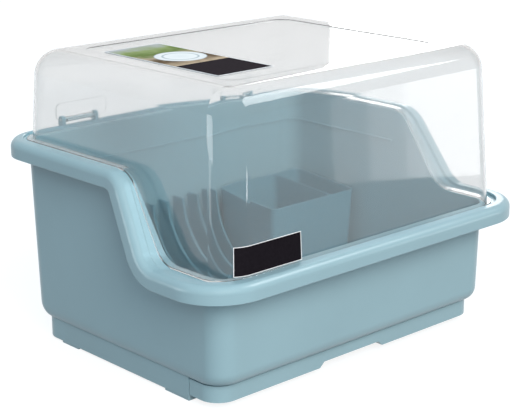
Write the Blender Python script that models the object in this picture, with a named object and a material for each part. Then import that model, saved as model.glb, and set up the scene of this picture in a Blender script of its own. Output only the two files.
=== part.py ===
"""Countertop dish drainer: a tub with a dropped front, a clear hinged lid, a plate rack, a cutlery
holder and a drip tray that slides out of the base. Metres, +Z up, +X to the right, front facing -Y.
The origin is at the centre of the bounding box's bottom face."""

from math import acos, atan2, cos, pi, radians, sin, tan

import bmesh
import bpy
from mathutils import Matrix

MM = 0.001

# Clearances
TOUCH = 0.3 * MM
RUNNING = 0.4 * MM
CUT_OVERRUN = 2 * MM

# Tub, measured outside at the level of the high rim
TUB_WIDTH = 436 * MM
TUB_DEPTH = 348 * MM
TUB_CORNER = 26 * MM
TUB_WALL = 2.5 * MM
TUB_DRAFT_SHARE = 0.018
FLOOR_UNDERSIDE = 28.5 * MM
BOTTOM_ROUNDING = 16 * MM

# Rim: level at the back, an S down each side, level and lower at the front
RIM_HIGH = 244 * MM
RIM_LOW = 155 * MM
RIM_HIGH_REACH = 22 * MM
RIM_LOW_REACH = 35 * MM
RIM_FRONT_REACH = 31.5 * MM
RIM_BACK_REACH = 18.5 * MM
RIM_SKIRT = 20.5 * MM
RIM_THICKNESS = 2.6 * MM
RIM_ROUNDING = 9 * MM
RIM_FLAT_SHARE = 0.25
RIM_FALL = 0.35 * MM
RIDGE_TO_EDGE_SIDE = 14 * MM
RIDGE_TO_EDGE_FRONT = 14 * MM
RIDGE_TO_EDGE_BACK = 7 * MM
RIDGE_WIDTH = 3.5 * MM
RIDGE_SHOULDER = 2 * MM
RIDGE_SHOULDER_DROP = 1 * MM
SEAT_DROP = 4 * MM

# The S of the rim, from the middle of the tub's depth to where its slope would meet each level
S_TOP = -36 * MM
S_BOTTOM = -93 * MM
S_TOP_BEND = 36 * MM
S_BOTTOM_BEND = 30 * MM

# Ledge round the inside of the high wall, which starts behind the S
LEDGE_HEIGHT = 199 * MM
LEDGE_WIDTH = 1.4 * MM
LEDGE_THICKNESS = 2 * MM
LEDGE_BEHIND_S = 24 * MM

# Drain slots, as many as the tub's floor has room for
DRAIN_LENGTH = 38 * MM
DRAIN_WIDTH = 3.6 * MM
DRAIN_PITCH_X = 54 * MM
DRAIN_PITCH_Y = 50 * MM
DRAIN_MARGIN = 18 * MM

# Base frame below the tub: a skirt, open at the front for the tray, with four feet and two rails
BASE_SIDE_INSET = 9 * MM
BASE_END_INSET = 16 * MM
BASE_CORNER = 25 * MM
SKIRT_WALL = 2.5 * MM
SKIRT_BOTTOM = 2.4 * MM
SKIRT_SETBACK = 45 * MM
FOOT_INSET = 0.5 * MM
FOOT_WIDTH = 12 * MM
FOOT_THICKNESS = 6 * MM
FRONT_FOOT_LENGTH = 41 * MM
REAR_FOOT_LENGTH = 32 * MM
REAR_FOOT_FROM_BACK = 37 * MM
RAIL_WIDTH = 8 * MM
RAIL_THICKNESS = 2.5 * MM
RAIL_TOP = 7.5 * MM
RAIL_SETBACK = 2 * MM
RAIL_FROM_BACK = 30 * MM

# Drip tray
TRAY_WALL = 2.2 * MM
TRAY_TOP_GAP = 1.7 * MM
TRAY_END_GAP = 1.5 * MM
TRAY_SIDE_GAP = 1.5 * MM
TRAY_BACK_GAP = 4 * MM
TRAY_PAN_DROP = 1.8 * MM
NOTCH_LEFT = -58 * MM
NOTCH_RIGHT = 48 * MM
NOTCH_HEIGHT = 6 * MM
NOTCH_DEPTH = 16 * MM
NOTCH_SLOPE = 9 * MM

# Lid, measured outside at its top, inset from the tub's sides and past its ends
LID_SIDE_INSET = 13 * MM
LID_END_REACH = 1.5 * MM
LID_TOP = 344 * MM
LID_CORNER = 31 * MM
LID_WALL = 2 * MM
LID_DRAFT_SHARE = 0.0534
LID_TOP_ROUNDING = 28 * MM
LID_FOOT_THICKNESS = 2.2 * MM
LID_FOOT_SIDE = 9 * MM
LID_FOOT_FRONT = 0.8 * MM
LID_FOOT_BACK = 0.5 * MM
PANEL_INSET = 45 * MM
PANEL_CORNER = 20 * MM
PANEL_STEP = 1.2 * MM

# Hinges at the back of the lid, each set in from the lid's side
HINGE_FROM_SIDE = 80 * MM
HINGE_AXIS_BEHIND_TUB = 13 * MM
HINGE_AXIS_ABOVE_RIM = 6 * MM
HINGE_KNUCKLE_LENGTH = 42 * MM
HINGE_KNUCKLE_RADIUS = 3.6 * MM
HINGE_PIN_RADIUS = 2 * MM
HINGE_EAR_THICKNESS = 5 * MM
HINGE_EAR_RADIUS = 4.8 * MM
HINGE_WEB_THICKNESS = 2.4 * MM
HINGE_PAD_WIDTH = 73 * MM
HINGE_PAD_HEIGHT = 20.5 * MM
HINGE_PAD_THICKNESS = 1 * MM
HINGE_PAD_CORNER = 6 * MM
HINGE_PAD_ABOVE_AXIS = 1.5 * MM

# Plate rack, placed from the tub's left side and its back
RIB_PITCH = 24 * MM
RIB_COUNT = 11
RIB_FROM_SIDE = 26 * MM
RIB_THICKNESS = 3.2 * MM
RIB_TOP = 132 * MM
RIB_PLATE_RADIUS = 93 * MM
RIB_PLATE_CENTER_FROM_BACK = 124 * MM
RIB_PLATE_CENTER_HEIGHT = 140 * MM
RIB_FRONT_TOP = 70 * MM
RIB_FRONT_LENGTH = 14 * MM
RIB_FRONT_SLOPE = 8 * MM
RIB_BACK_GAP = 7.5 * MM
RACK_MARGIN = 7 * MM
RACK_FRONT_FROM_BACK = 218.5 * MM
RACK_PLATE_UNDERSIDE = 36 * MM
RACK_PLATE_THICKNESS = 4 * MM
RACK_CORNER = 14 * MM
RACK_BAR_WIDTH = 6 * MM
RACK_WINDOW_ROWS = 5
RACK_FOOT_SIZE = 7 * MM

# Cutlery holder, between the rack and the tub's right side
HOLDER_FROM_RACK = 3 * MM
HOLDER_FROM_SIDE = 15 * MM
HOLDER_FROM_BACK = 26.5 * MM
HOLDER_DEPTH = 108 * MM
HOLDER_FRONT_TOP = 126 * MM
HOLDER_BACK_TOP = 134 * MM
HOLDER_DRAFT = 5 * MM
HOLDER_WALL = 2 * MM
HOLDER_CORNER = 8 * MM
HOLDER_NARROW_WIDTH = 44 * MM
HOLDER_DRAIN_RADIUS = 1.8 * MM
HOLDER_DRAIN_PITCH = 16 * MM
HOLDER_DRAIN_MARGIN = 3 * MM

# Labels: the lid's lies in its panel, set in from the panel's left, front and back
LABEL_THICKNESS = 0.4 * MM
LID_LABEL_WIDTH = 79 * MM
LID_LABEL_SIDE_MARGIN = 9.8 * MM
LID_LABEL_FRONT_MARGIN = 30.3 * MM
LID_LABEL_BACK_MARGIN = 31.3 * MM
CORNER_LABEL_REACH = 93 * MM
CORNER_LABEL_BOTTOM = 155 * MM
CORNER_LABEL_TOP = 187 * MM
CORNER_LABEL_START_SHARE = 0.45

# Facets
ARC_STEPS = 7
BEND_STEPS = 5
ROUNDING_STEPS = 4
SMALL_ARC_STEPS = 3
ROUND_SIDES = 20
HOLE_SIDES = 6
PLATE_ARC_STEPS = 12
SHARP_DEGREES = 35

# Angles, and places worked out from the sizes above
FULL_TURN = 2 * pi
QUARTER_TURN = pi / 2
TUB_Y = (RIM_FRONT_REACH - RIM_BACK_REACH) / 2
TUB_BACK = TUB_Y + TUB_DEPTH / 2
FLOOR_TOP = FLOOR_UNDERSIDE + TUB_WALL
FLOOR_FILLET = BOTTOM_ROUNDING - TUB_WALL
S_SLOPE = atan2(RIM_HIGH - RIM_LOW, S_TOP - S_BOTTOM)
BASE_WIDTH = TUB_WIDTH - 2 * BASE_SIDE_INSET
BASE_DEPTH = TUB_DEPTH - 2 * BASE_END_INSET
SKIRT_FRONT_END = SKIRT_SETBACK - BASE_DEPTH / 2
LID_WIDTH = TUB_WIDTH - 2 * LID_SIDE_INSET
LID_DEPTH = TUB_DEPTH + 2 * LID_END_REACH
HINGE_X = LID_WIDTH / 2 - HINGE_FROM_SIDE
HINGE_Y = TUB_BACK + HINGE_AXIS_BEHIND_TUB
HINGE_Z = RIM_HIGH + HINGE_AXIS_ABOVE_RIM
RIB_FIRST = RIB_FROM_SIDE - TUB_WIDTH / 2
RACK_PLATE_TOP = RACK_PLATE_UNDERSIDE + RACK_PLATE_THICKNESS
RACK_LEFT = RIB_FIRST - RACK_MARGIN
RACK_RIGHT = RIB_FIRST + (RIB_COUNT - 1) * RIB_PITCH + RACK_MARGIN
RACK_FRONT = TUB_BACK - RACK_FRONT_FROM_BACK
HOLDER_LEFT = RACK_RIGHT + HOLDER_FROM_RACK
HOLDER_RIGHT = TUB_WIDTH / 2 - HOLDER_FROM_SIDE
HOLDER_BACK = TUB_BACK - HOLDER_FROM_BACK
HOLDER_FRONT = HOLDER_BACK - HOLDER_DEPTH
HOLDER_DIVIDER = HOLDER_RIGHT - HOLDER_NARROW_WIDTH

BLUE_PLASTIC = (0.33, 0.46, 0.5, 1)
PALE_BLUE_PLASTIC = (0.36, 0.49, 0.53, 1)
CLEAR_PLASTIC = (0.9, 0.92, 0.93, 1)
DARK_LABEL = (0.02, 0.02, 0.022, 1)


def clear_scene():
    for obj in list(bpy.data.objects):
        bpy.data.objects.remove(obj)


def material(name, color, roughness, alpha=1):
    made = bpy.data.materials.new(name)
    made.use_nodes = True
    shader = made.node_tree.nodes["Principled BSDF"]
    shader.inputs["Base Color"].default_value = color
    shader.inputs["Roughness"].default_value = roughness
    shader.inputs["Metallic"].default_value = 0
    shader.inputs["Alpha"].default_value = alpha
    return made


def add_object(name, mesh, finish=None):
    obj = bpy.data.objects.new(name, mesh)
    bpy.context.scene.collection.objects.link(obj)
    if finish:
        mesh.materials.append(finish)
    return obj


def mesh_from(name, points, faces):
    """A closed mesh with its faces pointing out."""
    mesh = bpy.data.meshes.new(name)
    mesh.from_pydata(points, [], faces)
    shape = bmesh.new()
    shape.from_mesh(mesh)
    bmesh.ops.recalc_face_normals(shape, faces=shape.faces)
    shape.to_mesh(mesh)
    shape.free()
    return mesh


def loft(name, rings):
    """A solid through rings of as many points each, capped at its first and its last ring."""
    count = len(rings[0])
    points = [point for ring in rings for point in ring]
    faces = []
    for i in range(len(rings) - 1):
        for j in range(count):
            k = (j + 1) % count
            faces.append((i * count + j, i * count + k, (i + 1) * count + k, (i + 1) * count + j))
    faces.append(tuple(range(count)))
    faces.append(tuple(range((len(rings) - 1) * count, len(rings) * count)))
    return mesh_from(name, points, faces)


def prism(name, outline, low, high, axis):
    """An outline of two coordinates, in alphabetical order, extruded along the third one."""
    place = {
        "x": lambda a, b, level: (level, a, b),
        "y": lambda a, b, level: (a, level, b),
        "z": lambda a, b, level: (a, b, level),
    }[axis]
    return loft(name, [[place(a, b, level) for a, b in outline] for level in (low, high)])


def box(name, low, high):
    outline = [(low[0], low[1]), (high[0], low[1]), (high[0], high[1]), (low[0], high[1])]
    return prism(name, outline, low[2], high[2], "z")


def sided_box(name, side, outer, inner, front, back, bottom, top):
    """A box on the right for side 1 or the left for side -1, between two distances from the middle."""
    ends = sorted((side * outer, side * inner))
    return box(name, (ends[0], front, bottom), (ends[1], back, top))


def circle(y, z, radius, sides=ROUND_SIDES):
    return [
        (y + radius * cos(FULL_TURN * i / sides), z + radius * sin(FULL_TURN * i / sides))
        for i in range(sides)
    ]


def rounded_box(left, right, low, high, low_radius, high_radius, steps=ARC_STEPS):
    """A rectangle whose corners have one radius at its low edge and another at its high edge."""
    corners = (
        (right, high, 0, high_radius),
        (left, high, 1, high_radius),
        (left, low, 2, low_radius),
        (right, low, 3, low_radius),
    )
    outline = []
    for a, b, quarter, radius in corners:
        center_a = a - radius if a == right else a + radius
        center_b = b - radius if b == high else b + radius
        for i in range(steps + 1 if radius else 1):
            angle = (quarter + i / steps) * QUARTER_TURN
            outline.append((center_a + radius * cos(angle), center_b + radius * sin(angle)))
    return outline


def gather(name, meshes):
    """Puts meshes that are clear of each other into one."""
    shape = bmesh.new()
    for mesh in meshes:
        shape.from_mesh(mesh)
        bpy.data.meshes.remove(mesh)
    joined = bpy.data.meshes.new(name)
    shape.to_mesh(joined)
    shape.free()
    return joined


def combine(obj, mesh, operation):
    """Applies one Boolean of a mesh to an object, and removes the mesh's object."""
    tool = add_object("cutter", mesh)
    tool.hide_render = True
    tool.display_type = "WIRE"
    modifier = obj.modifiers.new(operation, "BOOLEAN")
    modifier.operation = operation
    modifier.solver = "EXACT"
    modifier.object = tool
    bpy.context.view_layer.update()
    evaluated = obj.evaluated_get(bpy.context.evaluated_depsgraph_get())
    result = bpy.data.meshes.new_from_object(evaluated)
    obj.modifiers.clear()
    obj.data = result
    bpy.data.objects.remove(tool)


def middles(room, pitch):
    """Places a pitch apart, centred on zero, whose cells fit in the given room."""
    count = int(room / pitch)
    return [(i - (count - 1) / 2) * pitch for i in range(count)]


def smooth(obj):
    obj.data.shade_smooth()
    obj.data.set_sharp_from_angle(angle=radians(SHARP_DEGREES))


def set_origin(obj, place):
    """Moves an object's origin and leaves its shape where it is."""
    obj.data.transform(Matrix.Translation([-value for value in place]))
    obj.location = place


# Stations go once round a rounded rectangle whose middle is the tub's. Along the sides they follow the
# S of the rim, so that the tub and the lid share them.


def rim_profile():
    """Depth, height and slope of the rim's crest down the S, from the low level to the high one."""
    low_run = S_BOTTOM_BEND * tan(S_SLOPE / 2)
    high_run = S_TOP_BEND * tan(S_SLOPE / 2)
    turns = [S_SLOPE * i / BEND_STEPS for i in range(BEND_STEPS + 1)]
    profile = []
    for turn in turns:
        y = S_BOTTOM - low_run + S_BOTTOM_BEND * sin(turn)
        profile.append((y, RIM_LOW + S_BOTTOM_BEND * (1 - cos(turn)), turn))
    for turn in reversed(turns):
        y = S_TOP + high_run - S_TOP_BEND * sin(turn)
        profile.append((y, RIM_HIGH - S_TOP_BEND * (1 - cos(turn)), turn))
    return profile


def corner_stations(end):
    """Stations round a corner: at the front for end -1, and at the back for end 1."""
    start = -QUARTER_TURN if end < 0 else 0
    return [
        {"kind": "corner", "angle": start + QUARTER_TURN * i / ARC_STEPS, "end": end}
        for i in range(ARC_STEPS + 1)
    ]


def all_stations():
    """Stations from the middle of the front, along the right, round to the front again."""
    half = [{"kind": "end", "at_share": share, "end": -1} for share in (0, 1 / 2)]
    half += corner_stations(-1)
    half += [{"kind": "side", "y": y, "height": z, "slope": turn} for y, z, turn in rim_profile()]
    half.append({"kind": "side", "y": (TUB_DEPTH / 2 - TUB_CORNER) / 2, "height": RIM_HIGH, "slope": 0})
    half += corner_stations(1)
    half += [{"kind": "end", "at_share": share, "end": 1} for share in (1 / 2, 0)]
    right = [dict(station, mirror=1) for station in half]
    left = [dict(station, mirror=-1) for station in half[1:-1]]
    return right + left[::-1]


def back_stations(front):
    """Stations from a place on the right side, round the back, to that place on the left side."""
    half = [{"kind": "side", "y": front}] + corner_stations(1)
    right = [dict(station, mirror=1) for station in half]
    left = [dict(station, mirror=-1) for station in half]
    return right + left[::-1]


def crest(station):
    """Height and slope of the rim's crest at a station."""
    if station["kind"] == "side":
        return station["height"], station["slope"]
    return (RIM_LOW if station["end"] < 0 else RIM_HIGH), 0


def plan_point(station, half_width, half_depth, corner, side_share=1):
    """Place and outward direction of a station on a rounded rectangle of the given half sizes."""
    mirror = station["mirror"]
    if station["kind"] == "end":
        x = station["at_share"] * (half_width - corner)
        return mirror * x, station["end"] * half_depth, 0, station["end"]
    if station["kind"] == "side":
        return mirror * half_width, station["y"] * side_share, mirror, 0
    toward_x = cos(station["angle"])
    toward_y = sin(station["angle"])
    x = half_width - corner + corner * toward_x
    y = station["end"] * (half_depth - corner) + corner * toward_y
    return mirror * x, y, mirror * toward_x, toward_y


def by_direction(station, at_side, at_front, at_back):
    """A value that turns smoothly from the side's into the front's or the back's at a corner."""
    if station["kind"] == "side":
        return at_side
    at_end = at_front if station["end"] < 0 else at_back
    if station["kind"] == "end":
        return at_end
    return at_side + (at_end - at_side) * sin(station["angle"]) ** 2


def tub_half_sizes(height):
    lean = TUB_DRAFT_SHARE * (RIM_HIGH - height)
    return TUB_WIDTH / 2 - lean, TUB_DEPTH / 2 - lean


def lid_half_sizes(height):
    lean = LID_DRAFT_SHARE * (LID_TOP - height)
    return LID_WIDTH / 2 + lean, LID_DEPTH / 2 + lean


def rim_point(station, half_sizes, corner, out, up):
    """A point out from a wall and up from the rim's crest, square to the crest's slope."""
    height, slope = crest(station)
    x, y, toward_x, toward_y = plan_point(station, *half_sizes(height), corner)
    return (
        x + toward_x * out,
        TUB_Y + y + toward_y * out - up * sin(slope),
        height + up * cos(slope),
    )


def level_ring(every, half_width, half_depth, corner, height):
    """A ring at one height, whose side stations keep their share of the straight side."""
    side_share = (half_depth - corner) / (TUB_DEPTH / 2 - TUB_CORNER)
    ring = []
    for station in every:
        x, y, _, _ = plan_point(station, half_width, half_depth, corner, side_share)
        ring.append((x, TUB_Y + y, height))
    return ring


def wall_sections(every, half_width, half_depth, corner, thickness, low, high):
    """Sections of an upright wall along stations, thickness inward from the given half sizes."""
    sections = []
    for station in every:
        x, y, toward_x, toward_y = plan_point(station, half_width, half_depth, corner)
        outer = (x, TUB_Y + y)
        inner = (x - toward_x * thickness, TUB_Y + y - toward_y * thickness)
        sections.append([(*outer, low), (*outer, high), (*inner, high), (*inner, low)])
    return sections


def rim_section(station):
    """The rim's section as out and up: over the seat, the ridge and the edge, and back below."""
    height, _ = crest(station)
    lowered_share = (RIM_HIGH - height) / (RIM_HIGH - RIM_LOW)
    wall_half_width, wall_half_depth = tub_half_sizes(height)
    rim_half_width = TUB_WIDTH / 2 + RIM_HIGH_REACH + (RIM_LOW_REACH - RIM_HIGH_REACH) * lowered_share
    edge = by_direction(
        station,
        rim_half_width - wall_half_width,
        TUB_DEPTH / 2 + RIM_FRONT_REACH - wall_half_depth,
        TUB_DEPTH / 2 + RIM_BACK_REACH - wall_half_depth,
    )
    ridge = edge - by_direction(station, RIDGE_TO_EDGE_SIDE, RIDGE_TO_EDGE_FRONT, RIDGE_TO_EDGE_BACK)
    bend = max(edge - RIM_ROUNDING, ridge + (edge - ridge) * RIM_FLAT_SHARE)
    turns = [QUARTER_TURN * i / ROUNDING_STEPS for i in range(ROUNDING_STEPS + 1)]
    section = [
        (-TUB_WALL, -SEAT_DROP),
        (ridge - RIDGE_WIDTH, -SEAT_DROP),
        (ridge - RIDGE_SHOULDER, -RIDGE_SHOULDER_DROP),
        (ridge, 0),
    ]
    for turn in turns:
        section.append((bend + (edge - bend) * sin(turn), -RIM_FALL - RIM_ROUNDING * (1 - cos(turn))))
    section.append((edge, -RIM_SKIRT))
    section.append((edge - RIM_THICKNESS, -RIM_SKIRT))
    for turn in reversed(turns):
        drop = RIM_FALL + RIM_THICKNESS + (RIM_ROUNDING - RIM_THICKNESS) * (1 - cos(turn))
        section.append((bend + (edge - RIM_THICKNESS - bend) * sin(turn), -drop))
    section.append((ridge, -SEAT_DROP - RIM_THICKNESS))
    section.append((0, -SEAT_DROP - RIM_THICKNESS))
    return section


def tub_shell():
    """The wall, the floor and the rim as one loft, from the floor's top to the floor's underside."""
    every = all_stations()
    rings = []
    for i in range(ROUNDING_STEPS):
        turn = QUARTER_TURN * i / (ROUNDING_STEPS - 1)
        height = FLOOR_TOP + FLOOR_FILLET * (1 - cos(turn))
        inset = TUB_WALL + FLOOR_FILLET * (1 - sin(turn))
        half_width, half_depth = tub_half_sizes(height)
        corner = TUB_CORNER - inset / 2
        rings.append(level_ring(every, half_width - inset, half_depth - inset, corner, height))
    sections = [rim_section(station) for station in every]
    for k in range(len(sections[0])):
        rings.append([
            rim_point(station, tub_half_sizes, TUB_CORNER, *section[k])
            for station, section in zip(every, sections)
        ])
    wall_foot = FLOOR_UNDERSIDE + BOTTOM_ROUNDING
    half_width, half_depth = tub_half_sizes(wall_foot)
    for i in range(ROUNDING_STEPS + 1):
        turn = QUARTER_TURN * i / ROUNDING_STEPS
        inward_share = 1 - cos(turn)
        rings.append(level_ring(
            every,
            half_width + (BASE_WIDTH / 2 - half_width) * inward_share,
            half_depth + (BASE_DEPTH / 2 - half_depth) * inward_share,
            TUB_CORNER + (BASE_CORNER - TUB_CORNER) * inward_share,
            wall_foot - BOTTOM_ROUNDING * sin(turn),
        ))
    return loft("tub", rings)


def ledge():
    """A narrow step along the inside of the high wall."""
    half_width, half_depth = tub_half_sizes(LEDGE_HEIGHT)
    sunk = TUB_WALL / 2
    return loft("ledge", wall_sections(
        back_stations(S_TOP + LEDGE_BEHIND_S), half_width - sunk, half_depth - sunk, TUB_CORNER - sunk,
        TUB_WALL - sunk + LEDGE_WIDTH, LEDGE_HEIGHT - LEDGE_THICKNESS, LEDGE_HEIGHT,
    ))


def hinge_spans():
    """Left and right end of each hinge's knuckle."""
    for side in (-1, 1):
        middle = side * HINGE_X
        yield middle - HINGE_KNUCKLE_LENGTH / 2, middle + HINGE_KNUCKLE_LENGTH / 2


def hinge_spans_with_ears():
    reach = RUNNING + HINGE_EAR_THICKNESS
    for left, right in hinge_spans():
        yield left - reach, right + reach


def ear_spans():
    for left, right in hinge_spans():
        yield left - RUNNING - HINGE_EAR_THICKNESS, left - RUNNING
        yield right + RUNNING, right + RUNNING + HINGE_EAR_THICKNESS


def hinge_ears():
    """Ears that stand on the back rim, sunk into its seat and its skirt."""
    back = TUB_BACK + RIM_BACK_REACH - RIM_THICKNESS / 2
    outline = [(HINGE_Y - HINGE_EAR_RADIUS, RIM_HIGH - SEAT_DROP - RIM_THICKNESS / 2)]
    for i in range(ROUND_SIDES // 2 + 1):
        turn = FULL_TURN * i / ROUND_SIDES
        outline.append((HINGE_Y - HINGE_EAR_RADIUS * cos(turn), HINGE_Z + HINGE_EAR_RADIUS * sin(turn)))
    outline.append((back, RIM_HIGH - RIM_ROUNDING - RIM_THICKNESS / 2))
    for left, right in ear_spans():
        yield prism("ear", outline, left, right, "x")


def ear_bores():
    bore = circle(HINGE_Y, HINGE_Z, HINGE_PIN_RADIUS + TOUCH)
    return gather("bores", [
        prism("bore", bore, left - CUT_OVERRUN, right + CUT_OVERRUN, "x")
        for left, right in hinge_spans_with_ears()
    ])


def drain_slots():
    slots = []
    for x in middles(BASE_WIDTH - 2 * DRAIN_MARGIN, DRAIN_PITCH_X):
        for along in middles(BASE_DEPTH - 2 * DRAIN_MARGIN, DRAIN_PITCH_Y):
            y = TUB_Y + along
            low = (x - DRAIN_LENGTH / 2, y - DRAIN_WIDTH / 2, FLOOR_UNDERSIDE - CUT_OVERRUN)
            high = (x + DRAIN_LENGTH / 2, y + DRAIN_WIDTH / 2, FLOOR_TOP + CUT_OVERRUN)
            slots.append(box("slot", low, high))
    return gather("slots", slots)


def make_tub(finish):
    tub = add_object("tub", tub_shell(), finish)
    for mesh in (ledge(), *hinge_ears()):
        combine(tub, mesh, "UNION")
    combine(tub, ear_bores(), "DIFFERENCE")
    combine(tub, drain_slots(), "DIFFERENCE")
    smooth(tub)


def base_skirt():
    """The wall below the tub's floor, round the back and both sides."""
    return loft("base_frame", wall_sections(
        back_stations(SKIRT_FRONT_END), BASE_WIDTH / 2, BASE_DEPTH / 2, BASE_CORNER, SKIRT_WALL,
        SKIRT_BOTTOM, FLOOR_UNDERSIDE - TOUCH,
    ))


def feet():
    front_foot = SKIRT_FRONT_END + FOOT_INSET
    rear_foot_end = BASE_DEPTH / 2 - REAR_FOOT_FROM_BACK
    outer = BASE_WIDTH / 2 - FOOT_INSET
    spans = (
        (front_foot, front_foot + FRONT_FOOT_LENGTH),
        (rear_foot_end - REAR_FOOT_LENGTH, rear_foot_end),
    )
    for side in (-1, 1):
        for front, back in spans:
            yield sided_box(
                "foot", side, outer, outer - FOOT_WIDTH, TUB_Y + front, TUB_Y + back, 0, FOOT_THICKNESS
            )


def tray_rails():
    for side in (-1, 1):
        yield sided_box(
            "rail", side, BASE_WIDTH / 2 - SKIRT_WALL / 2, BASE_WIDTH / 2 - SKIRT_WALL - RAIL_WIDTH,
            TUB_Y + SKIRT_FRONT_END + RAIL_SETBACK, TUB_Y + BASE_DEPTH / 2 - RAIL_FROM_BACK,
            RAIL_TOP - RAIL_THICKNESS, RAIL_TOP,
        )


def make_base_frame(finish):
    base = add_object("base_frame", base_skirt(), finish)
    for mesh in (*feet(), *tray_rails()):
        combine(base, mesh, "UNION")
    smooth(base)


def make_hinge_pins(finish):
    outline = circle(HINGE_Y, HINGE_Z, HINGE_PIN_RADIUS)
    for name, (left, right) in zip(("hinge_pin_left", "hinge_pin_right"), hinge_spans_with_ears()):
        pin = add_object(name, prism(name, outline, left, right, "x"), finish)
        set_origin(pin, ((left + right) / 2, HINGE_Y, HINGE_Z))
        smooth(pin)


def lid_shell():
    """The clear hood as one loft, from the panel's top, over the wall's foot, to the panel inside."""
    every = all_stations()
    rings = []
    foot = -SEAT_DROP + TOUCH

    def panel_ring(inset, corner, height):
        rings.append(level_ring(every, LID_WIDTH / 2 - inset, LID_DEPTH / 2 - inset, corner, height))

    def rounding_ring(turn, depth):
        radius = LID_TOP_ROUNDING - depth
        height = LID_TOP - depth - radius * (1 - cos(turn))
        inset = depth + radius * (1 - sin(turn))
        half_width, half_depth = lid_half_sizes(height)
        corner = LID_CORNER - inset
        rings.append(level_ring(every, half_width - inset, half_depth - inset, corner, height))

    def foot_ring(out_at, up):
        rings.append([
            rim_point(station, lid_half_sizes, LID_CORNER, out_at(station), up) for station in every
        ])

    def lip(station):
        return by_direction(station, LID_FOOT_SIDE, LID_FOOT_FRONT, LID_FOOT_BACK)

    turns = [QUARTER_TURN * i / ROUNDING_STEPS for i in range(ROUNDING_STEPS + 1)]
    panel_ring(PANEL_INSET + PANEL_STEP, PANEL_CORNER - PANEL_STEP, LID_TOP - PANEL_STEP)
    panel_ring(PANEL_INSET, PANEL_CORNER, LID_TOP)
    for turn in turns:
        rounding_ring(turn, 0)
    foot_ring(lambda station: 0, foot + LID_FOOT_THICKNESS)
    foot_ring(lip, foot + LID_FOOT_THICKNESS)
    foot_ring(lip, foot)
    foot_ring(lambda station: -LID_WALL, foot)
    for turn in reversed(turns):
        rounding_ring(turn, LID_WALL)
    panel_ring(PANEL_INSET, PANEL_CORNER, LID_TOP - LID_WALL)
    panel_ring(PANEL_INSET + PANEL_STEP, PANEL_CORNER - PANEL_STEP, LID_TOP - LID_WALL - PANEL_STEP)
    return loft("lid", rings)


def lid_back(height):
    """Depth of the lid's outer face at the back."""
    return TUB_Y + lid_half_sizes(height)[1]


def hinge_pads():
    """Raised pads on the lid's back that follow the wall's lean."""
    pads = []
    low = HINGE_Z + HINGE_PAD_ABOVE_AXIS
    for side in (-1, 1):
        middle = side * HINGE_X
        outline = rounded_box(
            middle - HINGE_PAD_WIDTH / 2, middle + HINGE_PAD_WIDTH / 2, low, low + HINGE_PAD_HEIGHT,
            HINGE_PAD_CORNER, HINGE_PAD_CORNER, steps=SMALL_ARC_STEPS,
        )
        pads.append(loft("pad", [
            [(x, lid_back(z) + out, z) for x, z in outline] for out in (-LID_WALL / 2, HINGE_PAD_THICKNESS)
        ]))
    return gather("pads", pads)


def hinge_knuckles():
    outline = circle(HINGE_Y, HINGE_Z, HINGE_KNUCKLE_RADIUS)
    return gather("knuckles", [prism("knuckle", outline, left, right, "x") for left, right in hinge_spans()])


def hinge_webs():
    inset = HINGE_WEB_THICKNESS / 2
    return gather("webs", [
        box(
            "web",
            (left + inset, lid_back(HINGE_Z) - LID_WALL / 2, HINGE_Z - inset),
            (right - inset, HINGE_Y, HINGE_Z + inset),
        )
        for left, right in hinge_spans()
    ])


def knuckle_bores():
    outline = circle(HINGE_Y, HINGE_Z, HINGE_PIN_RADIUS + RUNNING)
    return gather("bores", [
        prism("bore", outline, left - CUT_OVERRUN, right + CUT_OVERRUN, "x")
        for left, right in hinge_spans()
    ])


def make_lid(finish):
    lid = add_object("lid", lid_shell(), finish)
    for mesh in (hinge_pads(), hinge_webs(), hinge_knuckles()):
        combine(lid, mesh, "UNION")
    combine(lid, knuckle_bores(), "DIFFERENCE")
    smooth(lid)
    set_origin(lid, (0, HINGE_Y, HINGE_Z))


def make_lid_label(finish):
    panel_half_depth = LID_DEPTH / 2 - PANEL_INSET - PANEL_STEP
    left = PANEL_INSET + PANEL_STEP + LID_LABEL_SIDE_MARGIN - LID_WIDTH / 2
    front = TUB_Y - panel_half_depth + LID_LABEL_FRONT_MARGIN
    back = TUB_Y + panel_half_depth - LID_LABEL_BACK_MARGIN
    bottom = LID_TOP - PANEL_STEP + TOUCH
    high = (left + LID_LABEL_WIDTH, back, bottom + LABEL_THICKNESS)
    label = add_object("lid_label", box("lid_label", (left, front, bottom), high), finish)
    set_origin(label, (0, HINGE_Y, HINGE_Z))


def make_corner_label(finish):
    """A label that lies round the lid's front left corner and on its front."""
    start = -QUARTER_TURN * CORNER_LABEL_START_SHARE
    places = [
        {"kind": "corner", "angle": start + (-QUARTER_TURN - start) * i / ARC_STEPS, "end": -1, "mirror": -1}
        for i in range(ARC_STEPS + 1)
    ]
    rings = []
    for station in places + [None]:
        ring = []
        for height, out in (
            (CORNER_LABEL_BOTTOM, TOUCH),
            (CORNER_LABEL_BOTTOM, TOUCH + LABEL_THICKNESS),
            (CORNER_LABEL_TOP, TOUCH + LABEL_THICKNESS),
            (CORNER_LABEL_TOP, TOUCH),
        ):
            half_width, half_depth = lid_half_sizes(height)
            if station:
                x, y, toward_x, toward_y = plan_point(station, half_width, half_depth, LID_CORNER)
            else:
                x, y, toward_x, toward_y = CORNER_LABEL_REACH - LID_WIDTH / 2, -half_depth, 0, -1
            ring.append((x + toward_x * out, TUB_Y + y + toward_y * out, height))
        rings.append(ring)
    label = add_object("corner_label", loft("corner_label", rings), finish)
    smooth(label)
    set_origin(label, (0, HINGE_Y, HINGE_Z))


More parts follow.
